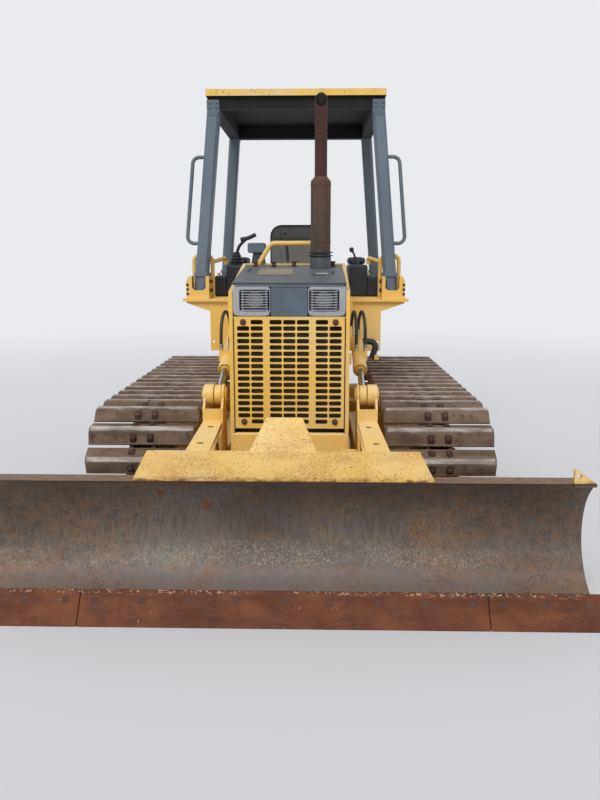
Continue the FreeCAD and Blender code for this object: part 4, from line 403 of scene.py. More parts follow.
def bare_steel_colour(tree):
    """The moldboard's hollow front: burnished streaks, rust towards its ends, ochre flecks and pale marks low down."""
    height = part_of(tree, "Z")
    span = away_from(tree, (0, 0, 0), (1, 0, 0))
    ends = add(tree, "ShaderNodeMapRange", {
        "Value": span, "From Min": 0.2, "From Max": 1.2, "To Min": 0.02, "To Max": -0.13}).outputs["Result"]
    stain = add(tree, "ShaderNodeMath", {0: noise(tree, 240, 5.0, 0.7), 1: ends}, operation="SUBTRACT").outputs[0]
    steel = layered(tree, "#595049", ("#6F675F", patches(tree, 420, 0.36, 0.66, 4.0, 0.6, (2, 1, 1))),
        ("#3F3832", mask(tree, patches(tree, 16, 0.42, 0.66, 6.0, 0.7, (1, 1, 7)), 0.55)),
        ("#726662", mask(tree, (height, FOOT_BAND + 0.012, FOOT_BAND - 0.012), 0.8)),
        (layered(tree, "#4F2F17", ("#80501F", patches(tree, 45, 0.4, 0.6))),
         mask(tree, (stain, 0.42, 0.66), patches(tree, 7, 0.47, 0.6, 5.0, 0.8, (1, 1, 1.8)))),
        ("#8E6630", mask(tree, patches(tree, 300, 0.5, 0.62, 5.0, 0.7, (1.5, 1, 1)),
                         patches(tree, 6, 0.5, 0.58, 5.0, 0.85, (1, 1, 2)), 0.8)))
    for place, across in RUST_SPOTS:
        reach = away_from(tree, place, (1, 0, 0.6))
        ragged = add(tree, "ShaderNodeMath", {0: noise(tree, 30, 5.0, 0.8), 1: 1.3 * across, 2: reach},
                     operation="MULTIPLY_ADD").outputs[0]
        steel = layered(tree, steel, ("#7A421C", mask(tree, (ragged, across * 1.15, across), 0.8)))
    marks = mask(tree, patches(tree, 7, 0.5, 0.6, 5.0, 0.85, (1, 1, 3)),
                 patches(tree, 260, 0.36, 0.6, 4.0, 0.6, (3, 1, 1)),
                 (height, 0.37, 0.25), (height, 0.19, 0.225), 0.75)
    return layered(tree, steel, ("#A1978C", marks), ("#4A3228", mask(tree, (height, 0.626, 0.636), 0.8)))


def blade_finish():
    """Burnished, rust-speckled steel on the moldboard's hollow front, and yellow enamel on the rest."""
    material, tree = new_material("burnished_steel_and_yellow_enamel")
    away = away_from(tree, CURVE_AXIS, (0, 1, 1))
    bare = add(tree, "ShaderNodeMath", {0: away, 1: CURVE_RADIUS + 0.007}, operation="LESS_THAN").outputs[0]
    height = part_of(tree, "Z")
    stain = mask(tree, patches(tree, 190, 0.44, 0.66, 4.0, 0.6, (2, 1, 1)), patches(tree, 9, 0.38, 0.6, 5.0, 0.8), 0.6)
    base = layered(tree, enamel_colour(tree, "#F4C86C", "#F0CC84", 0.62, 0.15, 0.3, "#C98A45"), ("#B06A26", stain),
        ("#6B3A1E", mask(tree, (height, 0.668, 0.64), patches(tree, 24, 0.42, 0.6, 5.0, 0.7, (2, 1, 1)), 0.85)),
        ("#5F3D25", mask(tree, looking_up(tree), (height, 0.66, 0.65), 0.9)), (bare_steel_colour(tree), bare))
    return finish(material, tree, base, ((60, 0.36, 0.62), (40, 0.42, 0.75)), (8, 5.0, 0.7), 0.5, bare,
                  Metallic=mask(tree, bare, 0.25))


# %% Two finishes on the roof, the rods and the muffler
(_, ROOF_FRONT, _), (ROOF_HALF_X, ROOF_REAR, ROOF_TOP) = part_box("canopy_roof")
ROOF_MIDDLE, ROOF_HALF_Y = (0, (ROOF_FRONT + ROOF_REAR) / 2, 0), (ROOF_REAR - ROOF_FRONT) / 2
RIM_FROM, RIM_TO = 0.004, 0.006


def roof_finish(dark_below):
    """Yellow enamel on the roof's plate and rim; all that hangs below or looks down is black paint darkened further as
    painted shade.
    """
    material, tree = new_material("yellow_and_black_enamel_with_painted_shade_on_roof_steel")
    height = part_of(tree, "Z")
    inside = mask(tree, (away_from(tree, ROOF_MIDDLE, (1, 0, 0)), ROOF_HALF_X - RIM_FROM, ROOF_HALF_X - RIM_TO),
                  (away_from(tree, ROOF_MIDDLE, (0, 1, 0)), ROOF_HALF_Y - RIM_FROM, ROOF_HALF_Y - RIM_TO),
                  (height, ROOF_TOP - RIM_FROM, ROOF_TOP - RIM_TO))
    dark = mask(tree, (height, dark_below, dark_below - 0.002))
    for other in (looking_up(tree, -0.4, -0.8), inside):
        dark = add(tree, "ShaderNodeMath", {0: dark, 1: other}, operation="MAXIMUM").outputs[0]
    # Near black, darker than black paint: black paint with painted shade under the roof.
    black = layered(tree, "#060607", ("#0B0B0C", patches(tree, 300, 0.4, 0.7)))
    base = layered(tree, enamel_colour(tree, YELLOW, "#E3CFA0", 0.62, 0.3, 0.35, "#4A3A28"), (black, dark))
    return finish(material, tree, base, ((80, 0.4, 0.65), (80, 0.75, 0.9)), (9, 2.0), 0.25, dark)


def rod_finish(name, pin, across):
    """Hard chrome on the rod, and yellow enamel on its eye: the part within 50 mm of the pin's axis."""
    material, tree = new_material(name)
    chrome = mask(tree, (away_from(tree, pin, across, mirrored=True), 0.05, 0.052))
    metal = layered(tree, "#8C8782", ("#B9B8B8", patches(tree, 40, 0.3, 0.6)))
    base = layered(tree, enamel_colour(tree, YELLOW, FADED_YELLOW), (metal, chrome))
    return finish(material, tree, base, ((60, 0.4, 0.62), (30, 0.16, 0.34)), (9, 2.0), 0.1, chrome, Metallic=chrome)


def muffler_finish(dark_below):
    """Thin sheet that heat has rusted in upright streaks, over a base that keeps its dark paint."""
    material, tree = new_material("heat_rusted_muffler_sheet")
    height = part_of(tree, "Z")
    base = layered(tree, "#453A30", ("#5A4433", patches(tree, 26, 0.38, 0.66, 5.0, 0.65, (1, 1, 9))),
        ("#7B7264", mask(tree, patches(tree, 40, 0.6, 0.75, 5.0, 0.7), 0.4)),
        ("#5E3A2A", mask(tree, (height, 1.88, 2.06), 0.6)),
        ("#2C2F32", mask(tree, (height, dark_below + 0.002, dark_below - 0.002))))
    return finish(material, tree, base, (30, 0.6, 0.9), (6, 4.0, 0.7), 0.5, Metallic=0.1)


blade_steel = blade_finish()
roof_enamel_and_shade = roof_finish(ROOF_TOP - 0.0425)
muffler_sheet = muffler_finish(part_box("muffler")[1][2] - 0.448)
lift_chrome = rod_finish("chrome_and_enamel_on_lift_rod", (0, 0.924, 0.857), (0, 1, 1))
angle_chrome = rod_finish("chrome_and_enamel_on_angle_rod", (0.38, 1.625, 0), (1, 1, 0))
tilt_chrome = rod_finish("chrome_and_enamel_on_tilt_rod", (0.12, 0, 0.682), (1, 0, 1))

# %% Soot in the exhaust pipe
PIPE_AXIS, PIPE_BORE = (0.165, -0.43, 0), 0.033
tree = pipe_rust.node_tree
shader = next(n for n in tree.nodes if n.type == "BSDF_PRINCIPLED")
soot = mask(tree, (away_from(tree, PIPE_AXIS, (1, 1, 0)), PIPE_BORE + 0.0015, PIPE_BORE + 0.0005))
sooted = layered(tree, shader.inputs["Base Color"].links[0].from_socket, ("#060505", soot))
tree.links.new(sooted, shader.inputs["Base Color"])
print("shared finishes:", blade_steel.name, roof_enamel_and_shade.name, muffler_sheet.name)

# %% [markdown]
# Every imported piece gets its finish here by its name. Later cells replace some of them by finer pieces.

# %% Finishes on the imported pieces
FINISH_OF = (("headlamps", lamp_glass), ("lamp_panel", panel_plastic), ("hood_side", yellow_enamel),
    ("hood_grab_rail", yellow_enamel), ("hood_rear_rail", yellow_enamel), ("hood", hood_enamel),
    ("engine_block", engine_iron), ("radiator_core", core_metal), ("muffler", muffler_sheet),
    ("exhaust_pipe", pipe_rust), ("front_post", slate_enamel), ("rear_post", slate_enamel),
    ("console", black_plastic), ("instrument_pod", plate_plastic), ("seat_base", dark_enamel),
    ("seat", seat_vinyl), ("running_gear", drawbar_steel), ("track_frame", yellow_enamel),
    ("track", shoe_steel), ("cutting_edge", edge_steel), ("lift_rod", lift_chrome), ("angle_rod", angle_chrome),
    ("tilt_rod", tilt_chrome), ("cowl", dark_enamel), ("floor_plate", dark_enamel), ("drawbar", drawbar_steel),
    ("hose", hose_rubber), ("blade_carrier", yellow_enamel), ("blade", blade_steel),
    ("canopy_roof", roof_enamel_and_shade), ("", yellow_enamel),
)


def give(piece, material):
    """The piece wears this one material."""
    piece.data.materials.clear()
    piece.data.materials.append(material)
    return piece


for name, piece in nodes.items():
    give(piece, next(material for start, material in FINISH_OF if name.startswith(start)))
print("finished", len(nodes), "packed pieces")

# %% [markdown]
# ## Making surfaces from numbers
#
# Every new piece below is a surface worked out with numpy: a grid of points whose rows and columns follow two
# parameters. One function turns a grid into faces, and the others make grids: a profile turned round an axis,
# an outline carried along a line, and a ring carried along a path. Whole arrays are computed at once. Modifiers
# such as Bevel then round the edges, as a real plate's edges are.

# %% Grids to meshes
import bmesh

SHARP_FROM = math.radians(32)


def form(grid, closed=True, capped=True):
    """Points and faces of a grid: rows are rings. Each face joins four neighbours, and caps fill both ends."""
    rows, columns, _ = grid.shape
    number = np.arange(rows * columns).reshape(rows, columns)
    if closed:
        number = np.hstack([number, number[:, :1]])
    quads = np.stack([number[:-1, :-1], number[:-1, 1:], number[1:, 1:], number[1:, :-1]], -1).reshape(-1, 4)
    faces = quads.tolist()
    if capped:
        faces += [number[0, :columns][::-1].tolist(), number[-1, :columns].tolist()]
    return grid.reshape(-1, 3), faces


def joined(*forms):
    """Several forms as one: each one's faces count on from the points before it."""
    points, faces, start = [], [], 0
    for some, more in forms:
        points.append(some)
        faces += [[i + start for i in face] for face in more]
        start += len(some)
    return np.vstack(points), faces


def ridden(piece, material, body):
    """The piece with its finish, attached to the body it rides on."""
    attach(give(piece, material), body)
    return piece


def shaped(name, parts, material, body="root", smooth=False, merged=False):
    """A finished piece from its form: its faces are turned outwards, and its doubled points merged if asked."""
    piece = plain_mesh(name, *parts)
    work = bmesh.new()
    work.from_mesh(piece.data)
    if merged:
        bmesh.ops.remove_doubles(work, verts=work.verts, dist=1e-6)
    bmesh.ops.recalc_face_normals(work, faces=work.faces)
    work.to_mesh(piece.data)
    work.free()
    piece.data.polygons.foreach_set("use_smooth", np.full(len(piece.data.polygons), smooth))
    if smooth:
        piece.data.set_sharp_from_angle(angle=SHARP_FROM)
    return ridden(piece, material, body)


def rounded(piece, width, segments=2):
    """Rounds the piece's sharp edges by a Bevel modifier, with flat faces kept flat."""
    bevel = piece.modifiers.new("rounded_edges", "BEVEL")
    bevel.width = width
    bevel.segments = segments
    bevel.limit_method = "ANGLE"
    bevel.harden_normals = True
    piece.data.polygons.foreach_set("use_smooth", np.full(len(piece.data.polygons), True))
    return piece


# %% Turned, carried and repeated forms


def turned(profile, steps=24):
    """A profile of (radius, height) rows turned round Z: x = r cos a, y = r sin a, z = height."""
    radius, height = np.asarray(profile, float).T
    angle = np.arange(steps) * 2 * np.pi / steps
    x, y = radius[:, None] * np.cos(angle), radius[:, None] * np.sin(angle)
    return form(np.stack([x, y, np.repeat(height[:, None], steps, 1)], -1))


def carried(outline, axis, low, high):
    """A flat outline carried straight along an axis: its two columns are the other axes in their order."""
    outline = np.asarray(outline, float)
    grid = np.stack([np.insert(outline, axis, place, axis=1) for place in (low, high)])
    return form(grid)


def block(low, high):
    """A box between two corners."""
    (x0, y0, z0), (x1, y1, z1) = low, high
    return carried([(x0, y0), (x1, y0), (x1, y1), (x0, y1)], 2, z0, z1)


def facing(way):
    """The turn that takes Z to this direction: its columns are two vectors across it and the direction."""
    way = np.asarray(way, float) / np.linalg.norm(way)
    helper = np.array([0.0, 0, 1]) if abs(way[2]) < 0.9 else np.array([1.0, 0, 0])
    across = np.cross(helper, way)
    across /= np.linalg.norm(across)
    return np.stack([across, np.cross(way, across), way], 1)


def put(parts, place, turn=np.eye(3)):
    """A form turned and moved: point = turn times point + place."""
    points, faces = parts
    return points @ np.asarray(turn).T + np.asarray(place, float), faces


def repeated(parts, places, turns):
    """One form at many places: every point is turned by each place's matrix and moved there, all at once."""
    points, faces = parts
    everywhere = np.einsum("kij,nj->kni", np.asarray(turns), points) + np.asarray(places)[:, None, :]
    starts = np.arange(len(places)) * len(points)
    return everywhere.reshape(-1, 3), [(np.array(face) + start).tolist() for start in starts for face in faces]


def tube(path, radius, steps=12):
    """A round tube along points: each ring stands across the mean of the two runs that meet there."""
    path = np.asarray(path, float)
    runs = np.diff(path, axis=0)
    runs /= np.linalg.norm(runs, axis=1)[:, None]
    ways = np.vstack([runs[:1], runs[:-1] + runs[1:], runs[-1:]])
    ways /= np.linalg.norm(ways, axis=1)[:, None]
    plane = np.linalg.svd(path - path.mean(0))[2][2]
    side = np.cross(ways, plane)
    side /= np.linalg.norm(side, axis=1)[:, None]
    angle = (np.arange(steps) * 2 * np.pi / steps)[None, :, None]
    rings = path[:, None] + radius * (np.cos(angle) * side[:, None] + np.sin(angle) * plane)
    return form(rings)


def bends(corners, radius, steps=6):
    """A path through corners with round bends: each arc touches both runs, radius away from its middle."""
    corners = [np.asarray(c, float) for c in corners]
    path = [corners[0][None]]
    for before, corner, after in zip(corners, corners[1:], corners[2:]):
        inward = (before - corner) / np.linalg.norm(before - corner)
        outward = (after - corner) / np.linalg.norm(after - corner)
        half = np.arccos(np.clip(inward @ outward, -1, 1)) / 2
        start, end = corner + inward * radius / np.tan(half), corner + outward * radius / np.tan(half)
        middle = corner + (inward + outward) / np.linalg.norm(inward + outward) * radius / np.sin(half)
        share = np.linspace(0, 1, steps)[:, None]
        turn = np.pi - 2 * half
        arms = (np.sin((1 - share) * turn) * (start - middle) + np.sin(share * turn) * (end - middle)) / np.sin(turn)
        path.append(middle + arms)
    return np.vstack(path + [corners[-1][None]])


HEX_BOLT = turned([(0.5, 0), (0.5, 0.3), (0.42, 0.36)], 6)


def bolts(places, ways, size):
    """Hexagon bolt heads on washers: size is the head's width over its corners, in metres."""
    washer = turned([(0.66, -0.02), (0.66, 0.08), (0.6, 0.1)], 12)
    points, faces = joined(washer, put(HEX_BOLT, (0, 0, 0.08)))
    return repeated((points * size, faces), places, [facing(way) for way in ways])


print("a bolt has", len(HEX_BOLT[1]), "faces")

# %% [markdown]
# ## Hoses
#
# Two hydraulic hoses loop over each lift cylinder. A hose is rubber with a wire braid, 20 mm across and stiff,
# so it can't kink: it rises from its fitting, turns over and comes down to the next one. A NURBS curve with a
# few control points gives the same even sweep. The fittings are zinc-plated steel, a hexagon under a collar.

# %% Hoses
HOSE_RADIUS = 0.01
HOSES = (("inner", 0.386, 0.364), ("outer", 0.44, 0.408))
HOSE_ROUTE = ((0, -0.5, 1.078), (0, -0.5, 1.14), (0.06, -0.493, 1.203), (0.2, -0.465, 1.255),
              (0.4, -0.418, 1.284), (0.6, -0.362, 1.286), (0.8, -0.313, 1.259), (1, -0.28, 1.208), (1, -0.28, 1.15))
fittings = {"left": [], "right": []}
for side_name, side in SIDES:
    for label, front_x, rear_x in HOSES:
        route = [(side * (front_x + (rear_x - front_x) * share), y, z) for share, y, z in HOSE_ROUTE]
        curve = bpy.data.curves.new(f"hose_{label}_{side_name}_curve", "CURVE")
        curve.dimensions = "3D"
        curve.bevel_depth = HOSE_RADIUS
        curve.bevel_resolution = 4
        curve.resolution_u = 8
        curve.use_fill_caps = True
        spline = curve.splines.new("NURBS")
        spline.points.add(len(route) - 1)
        spline.points.foreach_set("co", np.hstack([route, np.ones((len(route), 1))]).ravel())
        spline.order_u = 3
        spline.use_endpoint_u = True
        hose = bpy.data.objects.new(f"rubber_hose_{label}_{side_name}", curve)
        bpy.context.scene.collection.objects.link(hose)
        ridden(hose, hose_rubber, f"lift_cylinder_{side_name}")
        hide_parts(f"hose_{label}_{side_name}")
        fittings[side_name] += [route[0], route[-1]]
FITTING = joined(turned([(0.0135, -0.03), (0.0135, -0.012), (0.012, -0.01)], 6),
                 turned([(0.0105, -0.012), (0.0125, -0.008), (0.0125, 0.012), (0.0112, 0.016)], 16))
for side_name, ends in fittings.items():
    shaped(f"hose_fittings_{side_name}", repeated(FITTING, ends, [np.eye(3)] * len(ends)), zinc_steel,
           f"lift_cylinder_{side_name}")
print("hoses:", 2 * len(HOSES), "fittings:", sum(map(len, fittings.values())))

# %% [markdown]
# ## Tracks
#
# A swamp track's shoes are wide and roof-shaped, so that they float on mud and cut into it as they turn. Each
# is a rolled section, the same all along its width, so its cross-section is one outline carried across the
# track. One shoe is made, and then repeated round the loop: along the two straight runs and round the two
# wheels. The ground polishes only the ridges. An attribute on the mesh marks them for the material.

# %% The loop that the shoes follow
TRACK_MIDDLE, SHOE_WIDTH, SHOES = 0.825, 0.6, 40
IDLER_Y, SPROCKET_Y, AXLE_Z = -0.75, 1.41, 0.39
PLATE_RADIUS, SHOE_PLATE, LINK_HEIGHT, RIDGE = 0.33, 0.012, 0.076, 0.06


def loop(along, radius):
    """Places and outward directions on the loop: two runs of the axles' distance and two half circles."""
    span, wrap = SPROCKET_Y - IDLER_Y, np.pi * radius
    along = np.asarray(along) % (2 * (span + wrap))
    first, second, third = span, span + wrap, 2 * span + wrap
    turn = np.where(along < second, (along - first) / radius, np.pi + (along - third) / radius)
    turn = np.clip(np.where(along < first, 0, np.where((along >= second) & (along < third), np.pi, turn)), 0,
                   2 * np.pi)
    out = np.stack([np.zeros_like(turn), np.sin(turn), np.cos(turn)], -1)
    centre_y = np.where(along < first, IDLER_Y + along, np.where(along < second, SPROCKET_Y, np.where(
        along < third, SPROCKET_Y - (along - second), IDLER_Y)))
    return np.stack([np.zeros_like(turn), centre_y, np.full_like(turn, AXLE_Z)], -1) + radius * out, out


PITCH = 2 * (SPROCKET_Y - IDLER_Y + np.pi * PLATE_RADIUS) / SHOES
middles, outward = loop((np.arange(SHOES) + 0.5) * PITCH, PLATE_RADIUS)
across = np.tile([1.0, 0, 0], (SHOES, 1))
shoe_turns = np.stack([across, np.cross(outward, across), outward], -1)
joints_at, joint_out = loop(np.arange(SHOES) * PITCH, PLATE_RADIUS - SHOE_PLATE - LINK_HEIGHT / 2)
print("pitch of the shoes in mm:", round(1000 * PITCH, 1))

# %% Shoes, links, pins and bolts
HALF_FOOT, RIDGE_HALF, SHEET = PITCH / 2 - 0.008, 0.013, 0.01
outline = np.array([
    (-HALF_FOOT, -0.004), (-HALF_FOOT, 0.004), (-HALF_FOOT + 0.008, 0.009), (-RIDGE_HALF - 0.004, RIDGE - 0.004),
    (-RIDGE_HALF + 0.002, RIDGE), (RIDGE_HALF - 0.002, RIDGE), (RIDGE_HALF + 0.004, RIDGE - 0.004),
    (HALF_FOOT - 0.008, 0.009), (HALF_FOOT, 0.004), (HALF_FOOT, -0.004), (0.03, -SHOE_PLATE), (-0.03, -SHOE_PLATE)])
END_CUT, END_HEIGHT = 0.014, 0.044
low_end = np.column_stack([outline[:, 0], np.minimum(outline[:, 1], END_HEIGHT)])
stations = [(-SHOE_WIDTH / 2, low_end), (-SHOE_WIDTH / 2 + END_CUT, outline), (SHOE_WIDTH / 2 - END_CUT, outline),
            (SHOE_WIDTH / 2, low_end)]
shoe = form(np.stack([np.insert(flat, 0, x, axis=1) for x, flat in stations]))
link_outline = np.array([(-0.086, -0.062), (-0.086, -0.014), (-0.072, 0), (-0.02, 0), (0.02, 0), (0.072, 0),
                         (0.086, -0.014), (0.086, -0.062), (0.072, -LINK_HEIGHT), (0.03, -LINK_HEIGHT + 0.008),
                         (-0.03, -LINK_HEIGHT + 0.008), (-0.072, -LINK_HEIGHT)])
link_outline[:, 1] -= SHOE_PLATE
links = joined(*[carried(link_outline, 0, x - 0.011, x + 0.011) for x in (-0.062, 0.062)])
slope = np.array([0, -(RIDGE - 0.009), HALF_FOOT - RIDGE_HALF - 0.012])
bolt_at = np.array([(x, y) for x in (-0.048, 0.048) for y in (-0.044, 0.044)])
bolt_ways = [slope * (1, -np.sign(y), 1) for _, y in bolt_at]
shoe_bolts = bolts(np.insert(bolt_at, 2, 0.033, axis=1), bolt_ways, 0.026)
pocket = carried([(-0.019, -0.022), (-0.012, -0.028), (0.012, -0.028), (0.019, -0.022), (0.019, 0.016), (0.012, 0.022),
                  (-0.012, 0.022), (-0.019, 0.016)], 2, -0.003, 0.0012)
pockets = joined(*[put(pocket, (x, y * 1.02, 0.031), facing(way)) for (x, y), way in zip(bolt_at, bolt_ways)])
pin = put(turned([(0.021, -0.076), (0.024, -0.074), (0.024, 0.074), (0.021, 0.076)], 12), (0, 0, 0), facing((1, 0, 0)))
for side_name, side in SIDES:
    shift = np.array([side * TRACK_MIDDLE, 0, 0])
    shoes = shaped(f"track_shoes_{side_name}", repeated(shoe, middles + shift, shoe_turns), shoe_steel)
    height = np.tile(np.concatenate([np.clip((flat[:, 1] - 0.045) / 0.015, 0, 1) for _, flat in stations]), SHOES)
    shoes.data.attributes.new("ridge", "FLOAT", "POINT").data.foreach_set("value", height)
    chain = joined(repeated(links, middles + shift, shoe_turns),
                   repeated(pin, joints_at + shift, [np.eye(3)] * SHOES),
                   repeated(shoe_bolts, middles + shift, shoe_turns))
    shaped(f"track_chain_{side_name}", chain, rusty_iron)
    shaped(f"shoe_bolt_pockets_{side_name}", repeated(pockets, middles + shift, shoe_turns), soil_and_shade_iron)
    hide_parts(f"track_{side_name}")
print("shoes on a side:", SHOES, "faces of one:", len(shoe[1]))

# %% [markdown]
# ## Cutting edge
#
# The blade cuts with a hard steel bar in three lengths, bolted on so that it can be turned or changed. Plough
# bolts hold it: their heads lie flush in square holes, worn to the level of the bar.

# %% Cutting edge
EDGE_HALF, EDGE_JOINT, EDGE_GAP = 1.425, 0.915, 0.003
edge_outline = [(-1.9, 0.135), (-2.0000, 0.0), (-1.9714, 0.0), (-1.8835, 0.1253)]
lengths = ((-EDGE_HALF, -EDGE_JOINT - EDGE_GAP), (-EDGE_JOINT, EDGE_JOINT), (EDGE_JOINT + EDGE_GAP, EDGE_HALF))
edge = shaped("cutting_edge_bars", joined(*[carried(edge_outline, 0, low, high) for low, high in lengths]),
              edge_steel, "blade")
rounded(edge, 0.003)
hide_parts("cutting_edge")
edge_way = np.array([0, -0.135, 0.1])
along = np.concatenate([np.linspace(-1.36, -0.98, 3), np.linspace(-0.85, 0.85, 9), np.linspace(0.98, 1.36, 3)])
heads = turned([(0.017, -0.004), (0.017, 0.0006), (0.015, 0.0014)], 16)
places = np.stack([along, np.full_like(along, -1.93), np.full_like(along, 0.0945)], -1)
shaped("edge_bolts", repeated(heads, places, [facing(edge_way)] * len(along)), rusty_iron, "blade")
print("edge bolts:", len(along))

# %% [markdown]
# ## Radiator grille
#
# The grille is sheet steel with rows of punched slots, in groups of two, three and two columns. A mesh of it
# without boolean cuts: the plate is divided into cells, one for each slot. In each cell the slot's outline and
# the cell's border have the same number of points, and a strip of faces joins them. Neighbouring cells share
# their border's points, so the strips merge into one sheet, and Solidify gives it its thickness.

# %% A sheet pierced by round-ended holes
SIDE_POINTS = 6
quarter = np.arange(SIDE_POINTS) / SIDE_POINTS
BORDER = np.concatenate([
    np.stack([quarter, np.zeros(SIDE_POINTS)], -1), np.stack([np.ones(SIDE_POINTS), quarter], -1),
    np.stack([1 - quarter, np.ones(SIDE_POINTS)], -1), np.stack([np.zeros(SIDE_POINTS), 1 - quarter], -1)])


def hole_outline(wide, tall, corner):
    """A rectangle with round corners as 24 points that answer to the border's points, round its middle."""
    unit = 2 * BORDER - 1
    length = np.maximum(np.abs(unit).max(1), 1e-9)
    square = unit / length[:, None]
    reach = np.array([wide / 2 - corner, tall / 2 - corner])
    full = square * np.array([wide / 2, tall / 2])
    core = np.clip(full, -reach, reach)
    way = full - core
    size = np.linalg.norm(way, axis=1)[:, None]
    return core + np.where(size > 1e-9, way / np.maximum(size, 1e-9), 0) * np.minimum(size, corner)


def pierced(columns, rows, holes, corner, front_y):
    """Cells between column and row borders. holes maps a cell to its hole's middle and size; others stay blank."""
    points, faces = [], []
    ring = np.arange(len(BORDER))
    following = np.roll(ring, -1)
    for column, (x0, x1) in enumerate(zip(columns, columns[1:])):
        for row, (z0, z1) in enumerate(zip(rows, rows[1:])):
            start = sum(map(len, points))
            border = np.array([x0, z0]) + BORDER * np.array([x1 - x0, z1 - z0])
            points.append(border)
            if (column, row) in holes:
                x, z, wide, tall = holes[column, row]
                points.append(np.array([x, z]) + hole_outline(wide, tall, corner))
                inner = ring + len(ring)
                faces += (np.stack([ring, following, inner[following], inner], -1) + start).tolist()
            else:
                faces.append((ring + start).tolist())
    flat = np.vstack(points)
    return np.stack([flat[:, 0], np.full(len(flat), front_y), flat[:, 1]], -1), faces


def sheet_metal(name, parts, thickness, body="root", upward=False):
    """Enamelled sheet: its cells are merged and a Solidify modifier thickens it, downwards where upward is set."""
    piece = plain_mesh(name, *parts)
    work = bmesh.new()
    work.from_mesh(piece.data)
    bmesh.ops.remove_doubles(work, verts=work.verts, dist=1e-5)
    if upward:
        bmesh.ops.recalc_face_normals(work, faces=work.faces)
        if sum(face.normal.z for face in work.faces) < 0:
            bmesh.ops.reverse_faces(work, faces=work.faces)
    work.to_mesh(piece.data)
    work.free()
    solid = piece.modifiers.new("thickness", "SOLIDIFY")
    solid.thickness = thickness
    solid.offset = -1
    return ridden(piece, yellow_enamel, body)


# %% Grille
(GRILLE_LEFT, GRILLE_FRONT, GRILLE_LOW), (GRILLE_RIGHT, _, GRILLE_TOP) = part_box("front_grille")
GRILLE_SHEET, GRILLE_SHIFT = 0.007, 0.01
GRILLE_LOW += GRILLE_SHIFT
SLOT_WIDE, SLOT_TALL, SLOT_PITCH, SLOT_ROWS, SLOT_MIDDLE = 0.065, 0.0245, 0.0336, 17, 1.008
COLUMN_STEP, GROUP_STRIP = 0.0724, 0.028
centres = np.array([column * COLUMN_STEP + np.sign(column) * (abs(column) > 1) * GROUP_STRIP
                    for column in range(-3, 4)])
lowest = SLOT_MIDDLE - (SLOT_ROWS - 1) * SLOT_PITCH / 2
heights = lowest + np.arange(SLOT_ROWS) * SLOT_PITCH
columns = [GRILLE_LEFT, *((centres[1:] + centres[:-1]) / 2), GRILLE_RIGHT]
rows = [GRILLE_LOW, lowest - SLOT_PITCH / 2, *(heights + SLOT_PITCH / 2), GRILLE_TOP]
slots = {(column, row + 1): (x, z, SLOT_WIDE, SLOT_TALL)
         for column, x in enumerate(centres) for row, z in enumerate(heights)
         if not (column in (0, 6) and row in (0, SLOT_ROWS - 1))}
grille = sheet_metal("radiator_grille", pierced(columns, rows, slots, 0.0065, GRILLE_FRONT), GRILLE_SHEET)
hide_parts("front_grille")
FORWARD = facing((0, -1, 0))
corner_bolts = [(x, GRILLE_FRONT - 0.001, z) for x in (centres[0], centres[-1]) for z in (heights[0], heights[-1])]
cap = turned([(0.0165, -0.004), (0.0165, 0.004), (0.0125, 0.006), (0.0115, 0.013), (0.009, 0.0145)], 20)
shaped("grille_bolts", repeated(cap, corner_bolts, [FORWARD] * 4), rusty_iron, smooth=True)
print("slots in the grille:", len(slots))

# %% [markdown]
# ## Lamp panel
#
# Over the grille sits a moulded grey panel. On each side a louvre guards a lamp: thin slats, tilted so that
# stones glance off, in a recess with round corners. Between them is a plain slate-coloured plate. The panel is
# pierced as the grille is. Each slat is a flat oval section carried across its recess.

# %% Lamp panel
(_, PANEL_FRONT, PANEL_LOW), (PANEL_RIGHT, _, PANEL_TOP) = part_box("lamp_panel")
NAME_HALF, RECESS_IN, RECESS_OUT, RECESS_MARGIN = 0.098, 0.105, 0.262, 0.028


def ring_body(rings):
    """Outlines one after another, the last joined to the first, as the skin of a tyre is."""
    return form(np.stack([*rings, rings[0]]), capped=False)


def outline_at(size, corner, middle, y):
    """A rounded rectangle's outline, upright across the machine."""
    return np.insert(hole_outline(*size, corner) + middle, 1, y, axis=1)


